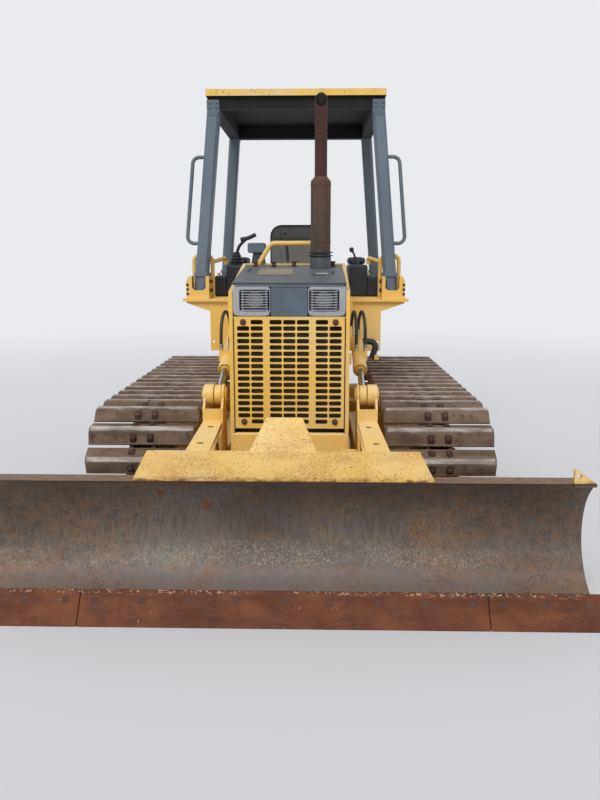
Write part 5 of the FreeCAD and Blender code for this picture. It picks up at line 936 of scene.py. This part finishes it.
cassette = np.array([PANEL_RIGHT - NAME_HALF, PANEL_TOP - PANEL_LOW])
recess = np.array([RECESS_OUT - RECESS_IN, cassette[1] - 2 * RECESS_MARGIN])
recess_tall, recess_z, lamp_back = recess[1], (PANEL_LOW + PANEL_TOP) / 2, np.array([0.07, 0.07])
cassettes, slats, housings, lenses, rims = [], [], [], [], []
SLATS = 8
slat_z = recess_z + (np.arange(SLATS) - (SLATS - 1) / 2) * recess_tall / SLATS
slat_outline = np.array([(-0.007, -0.003), (-0.006, -0.0012), (0.008, 0.003), (0.009, 0.0016), (-0.004, -0.0032)])
lens = turned([(0.0005, 0.013), (0.014, 0.012), (0.028, 0.009), (0.04, 0.003), (0.043, 0.0), (0.04, -0.006)], 32)
rim = turned([(0.041, -0.012), (0.049, -0.01), (0.049, 0.003), (0.046, 0.006), (0.042, 0.004)], 32)
for side in (-1, 1):
    middle = np.array([side * (NAME_HALF + PANEL_RIGHT) / 2, recess_z])
    opening = np.array([side * (RECESS_IN + RECESS_OUT) / 2, recess_z])
    cassettes.append(ring_body([outline_at(cassette + grow, corner, middle, PANEL_FRONT + back)
         for grow, corner, back in ((0, 0.026, 0.012), (0, 0.026, 0.004), (-0.01, 0.022, -0.004))]
        + [outline_at(recess + grow, corner, opening, PANEL_FRONT + back)
           for grow, corner, back in ((0.006, 0.01, -0.004), (0, 0.008, 0.001), (0, 0.008, 0.012))]))
    low, high = side * (RECESS_IN + 0.007), side * (RECESS_OUT - 0.007)
    slats += [carried(slat_outline + (PANEL_FRONT + 0.004, z), 0, low, high) for z in slat_z]
    slats += [block((side * x - 0.003, PANEL_FRONT + 0.006, recess_z - recess_tall / 2 - 0.003),
                    (side * x + 0.003, PANEL_FRONT + 0.013, recess_z + recess_tall / 2 + 0.003))
              for x in (RECESS_IN + 0.016, RECESS_OUT - 0.016)]
    housings.append(ring_body([outline_at(size, corner, opening, PANEL_FRONT + back) for size, corner, back in (
            (recess + 0.006, 0.013, 0.013), (recess, 0.013, 0.013), (recess, 0.013, 0.046),
            (lamp_back, 0.034, 0.048), (lamp_back, 0.034, 0.051), (recess + 0.006, 0.013, 0.051))]))
    lamp_at = (opening[0], PANEL_FRONT + 0.034, opening[1])
    lenses.append(put(lens, lamp_at, FORWARD))
    rims.append(put(rim, lamp_at, FORWARD))
panel = shaped("lamp_panel_shell", joined(*cassettes), panel_plastic, smooth=True, merged=True)
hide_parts("lamp_panel")
shaped("lamp_louvres", joined(*slats), panel_plastic)
housing = shaped("lamp_housings", joined(*housings), black_plastic, smooth=True, merged=True)
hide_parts("headlamps")
shaped("lamp_lenses", joined(*lenses), lamp_glass, smooth=True)
shaped("lamp_rims", joined(*rims), zinc_steel, smooth=True)


def frame_outline(wide, tall, corner):
    """A rectangle with round corners round the origin, with extra points where the corners turn."""
    turn = np.linspace(0, np.pi / 2, 6)
    arc = corner * np.stack([np.cos(turn), np.sin(turn)], -1)
    middle = np.array([wide / 2 - corner, tall / 2 - corner])
    flip = np.array([[1, 1], [-1, 1], [-1, -1], [1, -1]])
    arcs = [(middle + arc) * f for f in flip]
    return np.vstack([arcs[0], arcs[1][::-1], arcs[2], arcs[3][::-1]])


slate_plate = carried(frame_outline(2 * NAME_HALF - 0.003, cassette[1] - 0.003, 0.008) + (0, recess_z), 1,
                      PANEL_FRONT - 0.001, PANEL_FRONT + 0.01)
rounded(shaped("blank_name_plate", slate_plate, plate_plastic), 0.002)
brow = carried([(PANEL_FRONT - 0.006, PANEL_TOP - 0.011), (PANEL_FRONT - 0.004, PANEL_TOP - 0.001),
                (PANEL_FRONT + 0.01, PANEL_TOP - 0.001), (PANEL_FRONT + 0.01, PANEL_TOP - 0.011)], 0, -0.286, 0.286)
rounded(shaped("lamp_panel_brow", brow, plate_plastic), 0.0015)
# A dark strip along the hood's front edge: painted shadow in the line between the hood and the lamp panel.
gap = block((-0.296, PANEL_FRONT - 0.003, PANEL_TOP - 0.001), (0.296, PANEL_FRONT + 0.006, PANEL_TOP + 0.0035))
shaped("hood_edge_painted_shadow", gap, hose_rubber)
print("slats:", len(slats), "recess in mm:", round(recess[0] * 1000), "by", round(recess_tall * 1000))

# %% [markdown]
# ## Hood
#
# The hood is a dark pressed sheet that slopes down to the front. A shallow rectangular hatch, a small slot on
# each side and four rubber-and-iron hold-downs at its rear are what the eye finds on it. They lie on the slope,
# so each one's height is worked out from its distance along the hood.

# %% Hood details
HOOD_FRONT_Y, HOOD_REAR_Y, HOOD_FRONT_Z = -1.09, -0.29, 1.484
HOOD_SLOPE = (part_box("hood")[1][2] - HOOD_FRONT_Z) / (HOOD_REAR_Y - HOOD_FRONT_Y)


def on_hood(x, y, up=0.0):
    """A point that far above the hood's sloping top."""
    return np.stack([x, y, HOOD_FRONT_Z + HOOD_SLOPE * (np.asarray(y) - HOOD_FRONT_Y) + up], -1)


def hood_plate(x_low, x_high, y_low, y_high, corner, high):
    """A flat plate with round corners on the slope: an outline in X and Y, lifted by the slope."""
    wide, long = x_high - x_low, y_high - y_low
    outline = frame_outline(wide, long, corner) + ((x_low + x_high) / 2, (y_low + y_high) / 2)
    rings = [on_hood(outline[:, 0], outline[:, 1], up) for up in (-0.004, high)]
    return form(np.stack(rings))


hatch = shaped("hood_hatch", hood_plate(-0.195, 0.007, -0.79, -0.52, 0.02, 0.004),
               weathered_enamel("hatch_enamel_dusty_and_lit_from_above", "#5D564E", "#6A6157", 0.74, 0.2, 0.2, "#4B443C"))
rounded(hatch, 0.002)
# Black plates where the hood has slots: painted shade of the openings.
SLIT_PLACES = ((-0.262, -0.244, -0.66, -0.5), (0.228, 0.246, -0.76, -0.62), (0.115, 0.195, -0.8, -0.772))
slits = joined(*[hood_plate(*place, 0.008, 0.0015) for place in SLIT_PLACES])
shaped("hood_slot_painted_shade", slits, black_plastic)
rounded(shaped("hood_blank_label", hood_plate(0.14, 0.205, -0.735, -0.69, 0.006, 0.0015), panel_plastic), 0.0005)
stud = [(0.021, -0.01), (0.021, 0.004), (0.012, 0.006), (0.012, 0.018), (0.017, 0.021), (0.015, 0.03)]
latch = joined(turned(stud, 14), block((-0.007, -0.032, 0.002), (0.007, 0.0, 0.012)))
latches = np.array([(-0.235, -0.36), (-0.122, -0.368), (0.002, -0.345), (0.242, -0.345)])
shaped("hood_hold_downs", repeated(latch, on_hood(latches[:, 0], latches[:, 1]), [np.eye(3)] * len(latches)),
       rusty_iron)
print("hold-downs:", len(latches))

# %% [markdown]
# ## Muffler clamps and cylinder glands
#
# Round parts are turned: a profile of radii along an axis. The muffler stands on its base in two thin clamp
# rings. Each hydraulic cylinder ends in a gland, a bolted ring that holds the rod's seal, and has a welded cap
# at its other end. A ring is turned round Z and then aimed along its cylinder.

# %% Muffler clamps
(MUFFLER_LEFT, _, _), (MUFFLER_RIGHT, MUFFLER_REAR, _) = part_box("muffler")
muffler_at = ((MUFFLER_LEFT + MUFFLER_RIGHT) / 2, MUFFLER_REAR - (MUFFLER_RIGHT - MUFFLER_LEFT) / 2)
clamp = turned([(0.046, 0), (0.074, 0.001), (0.0755, 0.004), (0.074, 0.007), (0.061, 0.008), (0.061, 0.02),
                (0.074, 0.021), (0.0755, 0.024), (0.074, 0.027), (0.055, 0.028)], 40)
shaped("muffler_clamps", put(clamp, (*muffler_at, 1.622)), dark_enamel, smooth=True)
base = turned([(0.046, 0), (0.064, 0), (0.064, 0.068), (0.061, 0.073), (0.046, 0.075)], 40)
shaped("muffler_base", put(base, (*muffler_at, 1.55)), hood_enamel, smooth=True)
seam = turned([(0.0595, 0), (0.0615, 0.002), (0.0615, 0.01), (0.0595, 0.012)], 40)
shaped("muffler_seams", joined(put(seam, (*muffler_at, 1.7)), put(seam, (*muffler_at, 2.035))), muffler_sheet,
       smooth=True)

# %% Cylinder glands and caps
LIFT_BASE, LIFT_PIN = np.array([0.404, -0.17, 1.1]), np.array([0.404, -0.924, 0.857])
ANGLE_BASE, ANGLE_PIN = np.array([0.43, -1.000, 0.575]), np.array([0.38, -1.625, 0.575])
TILT_BASE, TILT_PIN = np.array([0.3, -1.635, 0.682]), np.array([-0.12, -1.635, 0.682])


def gland(radius, rod):
    """A gland ring with a groove and a wiper lip, turned: it ends at height 0 and points along +Z."""
    ring = [(-0.004, -0.052), (0.003, -0.05), (0.003, -0.024), (-0.002, -0.021), (-0.002, -0.017), (0.003, -0.014),
            (0.003, -0.003), (0, 0)]
    lip = [(0.008, 0), (0.007, 0.0035), (0.001, 0.0045)]
    return turned(np.vstack([np.array(ring) + (radius, 0), np.array(lip) + (rod, 0)]), 32)


def cylinder_rings(base, pin, radius, rod, length, start):
    """The gland at the barrel's open end, its bolts, and a cap ring where the barrel begins."""
    way = (pin - base) / np.linalg.norm(pin - base)
    turn = facing(way)
    angle = np.arange(8) * np.pi / 4
    ring = np.stack([np.cos(angle), np.sin(angle), np.zeros(8)], -1) * (radius - 0.006)
    heads = bolts(ring, [(0, 0, 1)] * 8, 0.0065)
    weld = [(-0.003, 0.001), (0.0025, 0.004), (0.0025, 0.02), (-0.003, 0.024)]
    cap_ring = turned(np.array(weld) + (radius, 0), 32)
    return joined(put(gland(radius, rod), base + way * length, turn), put(heads, base + way * length, turn),
                  put(cap_ring, base + way * start, turn))


CYLINDERS = (("lift", LIFT_BASE, LIFT_PIN, 0.04, 0.018, 0.478, 0.046),
             ("angle", ANGLE_BASE, ANGLE_PIN, 0.031, 0.016, 0.398, 0.038))
for side_name, side in SIDES:
    for label, base, pin, *sizes in CYLINDERS:
        rings = cylinder_rings(base * (side, 1, 1), pin * (side, 1, 1), *sizes)
        shaped(f"{label}_gland_{side_name}", rings, yellow_enamel, body=f"{label}_cylinder_{side_name}", smooth=True)
rings = cylinder_rings(TILT_BASE, TILT_PIN, 0.032, 0.016, 0.32, 0.046)
shaped("tilt_gland", rings, yellow_enamel, body="tilt_cylinder", smooth=True)
print("glands made")

# %% [markdown]
# ## Lift pins and the arms' guards
#
# Each lift rod ends in an eye between two cheeks on the C-frame. The eye, the bosses and a cap over the pin make
# one thick drum. The eye's sleeve rides on the rod and the rest on the frame, so that the rod can swing. Ahead
# of it a sloping plate guards the angle cylinder. It has two slots to reach the grease nipples, and the same
# pierced sheet as the grille's makes it: its flat points are turned onto the slope by two directions.

# %% Lift pins
LIFT_PIN_Y, LIFT_PIN_Z, DRUM, SLEEVE = -0.924, 0.857, 0.06, 0.0555


def drum_part(low, high, side, radius=DRUM):
    """A ring round the lift pin between two distances from the machine's middle, with broken edges."""
    ring = turned([(0.02, low), (radius - 0.003, low), (radius, low + 0.003), (radius, high - 0.003),
                   (radius - 0.003, high), (0.02, high)], 40)
    return put(ring, (0, LIFT_PIN_Y, LIFT_PIN_Z), facing((side, 0, 0)))


for side_name, side in SIDES:
    shaped(f"rod_eye_sleeve_{side_name}", drum_part(0.3846, 0.4236, side, SLEEVE), yellow_enamel,
           body=f"lift_rod_{side_name}", smooth=True)
    cap = turned([(0.0005, 0), (0.04, 0), (0.043, 0.002), (0.043, 0.006), (0.04, 0.009), (0.0005, 0.009)], 32)
    caps = joined(*[put(cap, (side * x, LIFT_PIN_Y, LIFT_PIN_Z), facing((side * way, 0, 0)))
                    for x, way in ((0.4825, 1), (0.3675, -1))])
    angle = np.radians([90, 210, 330])
    heads = np.array([(side * 0.491, LIFT_PIN_Y, LIFT_PIN_Z)]) + 0.026 * np.stack(
        [0 * angle, np.cos(angle), np.sin(angle)], -1)
    drums = joined(drum_part(0.3675, 0.3826, side), drum_part(0.4274, 0.4825, side), caps)
    shaped(f"lift_bosses_{side_name}", drums, yellow_enamel, body="c_frame", smooth=True)
    shaped(f"lift_pin_bolts_{side_name}", bolts(heads, [(side, 0, 0)] * 3, 0.016), rusty_iron, body="c_frame")
print("drum in mm:", 2000 * DRUM)

# %% Guards over the angle cylinders
GUARD_TOP, GUARD_FOOT = np.array([0, -1.026, 0.728]), np.array([0, -1.38, 0.65])
down_slope = GUARD_FOOT - GUARD_TOP
guard_length = np.linalg.norm(down_slope)
down_slope = down_slope / guard_length
for side_name, side in SIDES:
    holes = {(0, 0): (0.425, 0.075, 0.03, 0.016), (0, 1): (0.448, 0.275, 0.034, 0.018)}
    flat, faces = pierced([0.0, 1.0], [0.0, guard_length / 2, guard_length],
                          {key: (0.5 + (x - 0.425 - 0.06 * v) / 0.11, v, wide / 0.11, tall)
                           for key, (x, v, wide, tall) in holes.items()}, 0.006, 0.0)
    share = flat[:, 2] / guard_length
    inner, outer = 0.374 + 0.022 * share, 0.478 + 0.041 * share
    lateral = side * (inner + (outer - inner) * flat[:, 0])
    points = GUARD_TOP + flat[:, 2:] * down_slope + lateral[:, None] * np.array([1.0, 0, 0])
    sheet_metal(f"angle_cylinder_cover_{side_name}", (points, faces), 0.01, "c_frame", True)
    # A dark block under each slot: painted shade seen through the slot, where the yellow arm lies behind it.
    slot_shade_places = [np.array([side * x, 0, 0]) + GUARD_TOP + down_slope * v for x, v, _, _ in holes.values()]
    below = joined(*[put(block((-0.021, -0.014, -0.004), (0.021, 0.014, 0.0)), at + np.array([0, -0.0015, -0.007]),
                         facing(np.cross(down_slope, (-1, 0, 0)))) for at in slot_shade_places])
    shaped(f"guard_slot_painted_shade_{side_name}", below, soil_and_shade_iron, "c_frame")
print("guard's length in mm:", round(1000 * guard_length))

# %% [markdown]
# ## Post heads and sockets
#
# The canopy's posts are bolted at both ends. A folded bracket covers the joint with the roof's beam, and the
# socket on the fender has a row of bolts in its flange and two through each cheek.

# %% Post heads and socket bolts
BRACKET = [(-0.042, 0.1), (0.042, 0.1), (0.042, 0.038), (0.026, 0.0), (-0.026, 0.0), (-0.042, 0.038)]
POST_TOP_X, BRACKET_PLACE = 0.545, 2.535
for side_name, side in SIDES:
    brackets = [carried(np.array(BRACKET) + (side * POST_TOP_X, BRACKET_PLACE), 1, *depth)
                for depth in ((0.127, 0.136), (1.489, 1.498))]
    rounded(shaped(f"post_brackets_{side_name}", joined(*brackets), slate_enamel), 0.003)
    heads = [(side * (POST_TOP_X + x), y, z) for x in (-0.024, 0.024) for y in (0.127, 1.498) for z in (2.59, 2.617)]
    ways = [(0, -1 if y < 1 else 1, 0) for _, y, _ in heads]
    flange = [(side * 0.7185, -0.029, z) for z in (1.378, 1.408, 1.438)]
    cheeks = [(side * x, y, z) for y0 in (0.01, 1.435) for x in (0.5748, 0.7112) for y in (y0, y0 + 0.07)
              for z in (1.4, 1.46)]
    sideways = [(side * (1 if abs(x) > 0.64 else -1), 0, 0) for x, _, _ in cheeks]
    shaped(f"post_head_bolts_{side_name}", bolts(heads, ways, 0.018), slate_enamel)
    shaped(f"post_bolts_{side_name}", joined(bolts(flange, [(0, -1, 0)] * 3, 0.015), bolts(cheeks, sideways, 0.024)),
           rusty_iron)
print("bolts on a post:", len(heads) + len(flange) + len(cheeks) // 2)

# %% [markdown]
# ## Front beam, seals and small parts
#
# Under the grille a bent channel closes the guard: its top and outer corners are rounded by the press. A dark
# strip down each side of the grille plate is painted shade in the gap there. On the left a black rubber elbow
# joins the air pipe under the deck.

# %% Front beam and the painted shade beside the grille
BEAM_FRONT, BEAM_TOP, BEAM_HALF = -1.094, 0.676, 0.318
channel = carried(frame_outline(2 * BEAM_HALF, BEAM_TOP - 0.548, 0.022) + (0, (BEAM_TOP + 0.548) / 2), 1,
                  BEAM_FRONT, -1.06)
rounded(shaped("front_beam_cover", channel, yellow_enamel), 0.012, 3)
# Dark strips beside the grille plate: painted shade in the gaps.
strips = [block((x - 0.0028, -1.0915, BEAM_TOP), (x + 0.0028, -1.0885, 1.302)) for x in (-0.2965, 0.2965)]
shaped("grille_edge_painted_shade", joined(*strips), soil_and_shade_iron)
print("beam in mm:", 2000 * BEAM_HALF)

# %% Air elbow and gear lever
elbow = tube(bends([(0.425, -0.235, 1.085), (0.535, -0.235, 1.085), (0.5, -0.235, 0.975)], 0.035), 0.02)
shaped("air_elbow", elbow, hose_rubber, smooth=True)
tab = carried(frame_outline(0.03, 0.034, 0.008) + (0.529, 0.985), 1, -0.262, -0.254)
rounded(shaped("air_elbow_tab", tab, yellow_enamel), 0.002)
lever_path = bends([(-0.05, 0.25, 1.009), (-0.059, 0.25, 1.587), (-0.066, 0.25, 1.682), (-0.08, 0.25, 1.777)], 0.2)
sleeve_path = bends([(-0.06, 0.25, 1.6), (-0.066, 0.25, 1.682), (-0.069, 0.25, 1.705)], 0.1)
knob = turned([(0.0005, -0.014), (0.009, -0.011), (0.013, 0), (0.009, 0.011), (0.0005, 0.014)], 16)
lever = joined(tube(lever_path, 0.0045, 8), tube(sleeve_path, 0.011), put(knob, (-0.081, 0.25, 1.785)))
shaped("gear_lever", lever, black_plastic, smooth=True)
print("gear lever's points:", len(lever_path))

# %% [markdown]
# ## Seat
#
# Seat cushions are foam under coated cloth, cut in panels and sewn. The foam fills the cover, so each face
# crowns and the sides pull in at the seams, where a round welt is sewn between the panels. Cloth simulation
# gives such a shape too, but here the forms are simple, and a formula keeps the seams sharp: a rounded
# rectangle shrinks in rings towards the middle, and the height over it falls off at the rim like the side of
# a flattened ball. Sewn channels are narrow grooves taken from the height.

# %% A padded form


def pad(half_u, half_v, thick, corner, crown, grooves=(), count=72):
    """A cushion lying flat: height = half of thick, times (1 - p^9)^0.45, and a crown that fades to the sides.

    p is how far a point is from the middle to the rim. grooves are (axis, place, half width, depth).
    """
    line = np.sin(np.linspace(-np.pi / 2, np.pi / 2, count))
    u, v = np.meshgrid(line, line, indexing="ij")
    p = np.maximum(np.abs(u), np.abs(v))
    full = np.stack([u * half_u, v * half_v], -1)
    reach = p[..., None] * np.array([half_u - corner, half_v - corner])
    core = np.clip(full, -reach, reach)
    way = full - core
    size = np.linalg.norm(way, axis=-1, keepdims=True)
    flat = core + way / np.maximum(size, 1e-9) * np.minimum(size, p[..., None] * corner)
    height = np.maximum(1 - p**9, 0) ** 0.45 * thick / 2
    bulge = crown * (1 - u**2) * (1 - v**2)
    dent = sum((depth * np.exp(-(((flat[..., axis] - place) / half) ** 2)) * (1 - p**12)
                for axis, place, half, depth in grooves), np.zeros_like(p))
    top = np.concatenate([flat, (height + bulge * np.maximum(1 - p**9, 0) - dent)[..., None]], -1)
    under = np.concatenate([flat, -height[..., None]], -1)
    return joined(form(top, closed=False, capped=False), form(under, closed=False, capped=False))


def welt(half_u, half_v, corner, height, radius=0.0045):
    """The round piping sewn along a seam: a thin ring that follows a rounded rectangle."""
    flat = frame_outline(2 * half_u, 2 * half_v, corner)
    angle = np.arange(8) * np.pi / 4
    middle = flat.mean(0)
    outward = (flat - middle) / np.linalg.norm(flat - middle, axis=1)[:, None]
    rings = [np.column_stack([flat + outward * radius * np.cos(a), np.full(len(flat), height + radius * np.sin(a))])
             for a in angle]
    return ring_body(rings)


def cushion(name, parts, place, turn, material, node=None):
    """A finished cushion at its place; the packed piece that it replaces is hidden when one is given."""
    piece = shaped(name, put(parts, place, turn), material, smooth=True, merged=True)
    if node:
        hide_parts(node)


# %% Seat cushion and back
FLAT, UPRIGHT = np.eye(3), np.array([[1.0, 0, 0], [0, 0, -1], [0, 1, 0]])
SEAT_HALF, BACK_MIDDLE_Z = 0.222, 1.56
cushion("seat_cushion_cover", pad(SEAT_HALF, 0.224, 0.104, 0.07, 0.01, (
    (0, -0.12, 0.008, 0.009), (0, 0.12, 0.008, 0.009), (1, -0.1, 0.008, 0.007), (1, 0.06, 0.008, 0.007))),
    (0, 0.625, 1.306), FLAT, seat_vinyl, "seat_cushion")
shaped("seat_cushion_welt", put(welt(SEAT_HALF - 0.004, 0.22, 0.066, 0.03), (0, 0.625, 1.306), FLAT), arm_vinyl,
       smooth=True, merged=True)
cushion("seat_back_cover", pad(SEAT_HALF, 0.307, 0.096, 0.09, 0.01, (
    (1, SEAT_BAND_Z - BACK_MIDDLE_Z, 0.006, 0.01), (1, -0.12, 0.007, 0.007), (0, -0.135, 0.007, 0.006),
    (0, 0.135, 0.007, 0.006))), (0, 0.905, BACK_MIDDLE_Z), UPRIGHT, seat_vinyl, "seat_back")
shaped("seat_back_welt", put(welt(SEAT_HALF - 0.004, 0.303, 0.086, 0.03), (0, 0.905, BACK_MIDDLE_Z), UPRIGHT),
       arm_vinyl, smooth=True, merged=True)
print("seat back in mm:", 2000 * SEAT_HALF, "across")

# %% [markdown]
# ## Consoles, levers and instruments
#
# Consoles are moulded shells with soft edges and an armrest. A bellows boot of rubber keeps dirt out where a
# lever comes through. A boot is a profile of folds turned round its axis, each fold smaller than the last.

# %% Consoles and armrests


def bellows(low_radius, high_radius, height, folds):
    """A boot's profile: the radius swings out and in once a fold while it shrinks from low to high."""
    share = np.linspace(0, 1, folds * 4 + 1)
    radius = low_radius + (high_radius - low_radius) * share**0.8
    radius = radius * (1 + 0.1 * np.cos(share * folds * 2 * np.pi))
    profile = np.column_stack([radius, share * height])
    return turned(np.vstack([profile, (0.004, height + 0.002)]), 28)


for side_name, side in SIDES:
    inner = block((side * 0.37, 0.3, 1.346), (side * 0.5, 0.9, 1.568))
    outer = block((side * 0.492, 0.304, 1.346), (side * 0.585, 0.9, 1.49))
    console = shaped(f"console_shell_{side_name}", joined(inner, outer), black_plastic)
    rounded(console, 0.016, 3)
    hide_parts(f"console_{side_name}")
    arm = pad(0.062, 0.165, 0.05, 0.03, 0.004, ((1, 0, 0.005, 0.004),), 36)
    cushion(f"armrest_{side_name}", arm, (side * 0.436, 0.71, 1.594), FLAT, arm_vinyl)
print("points on an armrest:", len(arm[0]))

# %% Boots, handles and the instrument pod
boot = put(bellows(0.062, 0.024, 0.088, 4), (-0.432, 0.37, 1.566))
shaft = tube(bends([(-0.432, 0.37, 1.64), (-0.41, 0.37, 1.7), (-0.356, 0.368, 1.752)], 0.08), 0.011)
grip = tube(bends([(-0.4, 0.372, 1.744), (-0.345, 0.37, 1.752), (-0.292, 0.366, 1.778)], 0.15), 0.014)
shaped("steering_lever", joined(boot, shaft, grip), black_plastic, smooth=True)
boot = put(bellows(0.036, 0.012, 0.045, 3), (0.42, 0.42, 1.566))
shaft = tube(bends([(0.42, 0.42, 1.6), (0.408, 0.405, 1.64), (0.392, 0.38, 1.664)], 0.06), 0.007)
knob = turned([(0.0005, -0.018), (0.012, -0.015), (0.017, 0), (0.013, 0.014), (0.0005, 0.018)], 20)
shaped("blade_lever", joined(boot, shaft, put(knob, (0.388, 0.374, 1.672), facing((-0.3, -0.3, 1)))), black_plastic,
       smooth=True)
pod = carried(frame_outline(0.116, 0.064, 0.014) + (-0.245, 1.677), 1, -0.16, -0.074)
pod = rounded(shaped("instrument_pod_shell", pod, plate_plastic), 0.007, 3)
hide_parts("instrument_pod")
face = turned([(0.0005, 0.002), (0.019, 0.002), (0.021, 0.004), (0.023, 0.004), (0.023, -0.002)], 24)
dials = [put(face, (x, -0.074, 1.677), facing((0, 1, 0))) for x in (-0.276, -0.214)]
stem = form(np.stack([np.insert(frame_outline(wide, deep, 0.01) + (-0.235, -0.117), 2, z, axis=1)
                      for wide, deep, z in ((0.108, 0.08, 1.562), (0.086, 0.066, 1.59), (0.07, 0.056, 1.647))]))
shaped("instrument_pod_stem", joined(stem, *dials), black_plastic, smooth=True)
print("levers and pod made")

# %% [markdown]
# ## Running gear covers
#
# Under a track, rollers carry the frame. Their shafts end in caps on the frame's outer side, each held by four
# bolts. The idler and the sprocket have a hub cover with a ring of bolts.

# %% Roller caps and hub covers


def bolt_ring(centre, way, radius, count, size, start=0.0):
    """Bolts evenly round a centre, on a face that looks along way."""
    angle = start + np.arange(count) * 2 * np.pi / count
    flat = radius * np.column_stack([np.cos(angle), np.sin(angle), np.zeros(count)])
    return bolts(flat @ facing(way).T + np.asarray(centre, float), [way] * count, size)


CAP = turned([(0.0005, 0.014), (0.03, 0.014), (0.036, 0.01), (0.046, 0.008), (0.048, -0.002)], 24)
HUB = turned([(0.0005, 0.03), (0.06, 0.03), (0.074, 0.024), (0.08, 0.01), (0.12, 0.008), (0.124, -0.004)], 40)
ROLLER_Y = IDLER_Y + (SPROCKET_Y - IDLER_Y) * np.arange(1, 7) / 7
ROLLER_Z = 0.2233
for side_name, side in SIDES:
    out = (side, 0, 0)
    caps = [put(CAP, (side * 0.941, y, ROLLER_Z), facing(out)) for y in ROLLER_Y]
    cap_bolts = [bolt_ring((side * 0.949, y, ROLLER_Z), out, 0.04, 4, 0.014, 0.785) for y in ROLLER_Y]
    hubs = [put(HUB, (side * 0.953, y, AXLE_Z), facing(out)) for y in (IDLER_Y, SPROCKET_Y)]
    hub_bolts = [bolt_ring((side * 0.961, y, AXLE_Z), out, 0.101, 10, 0.02) for y in (IDLER_Y, SPROCKET_Y)]
    shaped(f"roller_caps_{side_name}", joined(*caps, *hubs), rusty_iron, smooth=True)
    shaped(f"hub_bolts_{side_name}", joined(*cap_bolts, *hub_bolts), drawbar_steel)
    cover_mid = (side * 0.9405, 0.36, 0.45)
    plate = put(carried(frame_outline(0.46, 0.15, 0.03), 2, -0.001, 0.007), cover_mid, facing(out)[:, [1, 0, 2]])
    rounded(shaped(f"frame_cover_{side_name}", plate, yellow_enamel), 0.002)
    corners = [(side * 0.948, 0.36 + a, 0.45 + b) for a in (-0.2, 0.0, 0.2) for b in (-0.055, 0.055)]
    shaped(f"frame_cover_bolts_{side_name}", bolts(corners, [out] * 6, 0.02), rusty_iron)
print("roller caps on a side:", len(ROLLER_Y))

# %% [markdown]
# ## Doors, deck, tank and roof
#
# The engine's side doors breathe through pressed louvres. The deck has raised strips against slipping. The
# fuel tank has a screwed cap, and the roof plate has shallow pressed ribs that stop it from drumming.

# %% Door louvres, tread strips, tank and rear cover
LOUVRE = np.array([(-0.002, 0.011), (-0.002, -0.013), (0.009, -0.009), (0.0085, -0.006)])
for side_name, side in SIDES:
    rows = [carried(LOUVRE * (side, 1) + (side * 0.32, z), 1, -0.93, -0.7) for z in np.arange(1.09, 1.35, 0.036)]
    shaped(f"door_louvres_{side_name}", joined(*rows), yellow_enamel, body=f"engine_door_{side_name}")
    treads = [block((side * 0.385, y - 0.006, 1.3445), (side * out, y + 0.006, 1.348))
              for out, low, high in ((0.555, -0.03, 0.26), (0.69, 0.96, 1.34)) for y in np.arange(low, high, 0.03)]
    shaped(f"deck_treads_{side_name}", joined(*treads), yellow_enamel)
cap = turned([(0.0005, 0.04), (0.034, 0.04), (0.042, 0.034), (0.044, 0.01), (0.036, 0.008), (0.036, -0.002)], 28)
grips = [block((-0.006, -0.042, 0.012), (0.006, 0.042, 0.046)), block((-0.042, -0.006, 0.012), (0.042, 0.006, 0.046))]
shaped("fuel_cap", put(joined(cap, *grips), (0.2, 1.32, 1.48)), dark_enamel, smooth=True)
cover = carried(frame_outline(0.46, 0.36, 0.05) + (0, 0.74), 1, 1.638, 1.648)
rounded(shaped("rear_case_cover", cover, yellow_enamel), 0.003)
edge_ring = frame_outline(0.42, 0.32, 0.04)[::2] + (0, 0.74)
heads = np.insert(edge_ring, 1, 1.648, axis=1)
tank_heads = np.array([(x, 1.5, z) for x in (-0.3, 0.3) for z in (1.06, 1.24, 1.42)])
heads = np.vstack([heads, tank_heads])
shaped("rear_bolts", bolts(heads, [(0, 1, 0)] * len(heads), 0.02), rusty_iron)
print("bolts at the rear:", len(heads))

# %% Roof ribs
RIB = np.array([(-0.03, -0.002), (-0.018, 0.005), (0.018, 0.005), (0.03, -0.002)])
ribs = [carried(RIB + (x, ROOF_TOP), 1, ROOF_FRONT + 0.1, ROOF_REAR - 0.1) for x in (-0.4, -0.2, 0.0, 0.2, 0.4)]
shaped("roof_ribs", joined(*ribs), yellow_enamel)
studs = [(x, y, ROOF_TOP) for x in (-0.545, 0.545) for y in (0.17, 0.22, 1.41, 1.46)]
shaped("roof_bolts", bolts(studs, [(0, 0, 1)] * len(studs), 0.022), rusty_iron)
print("ribs:", len(ribs))
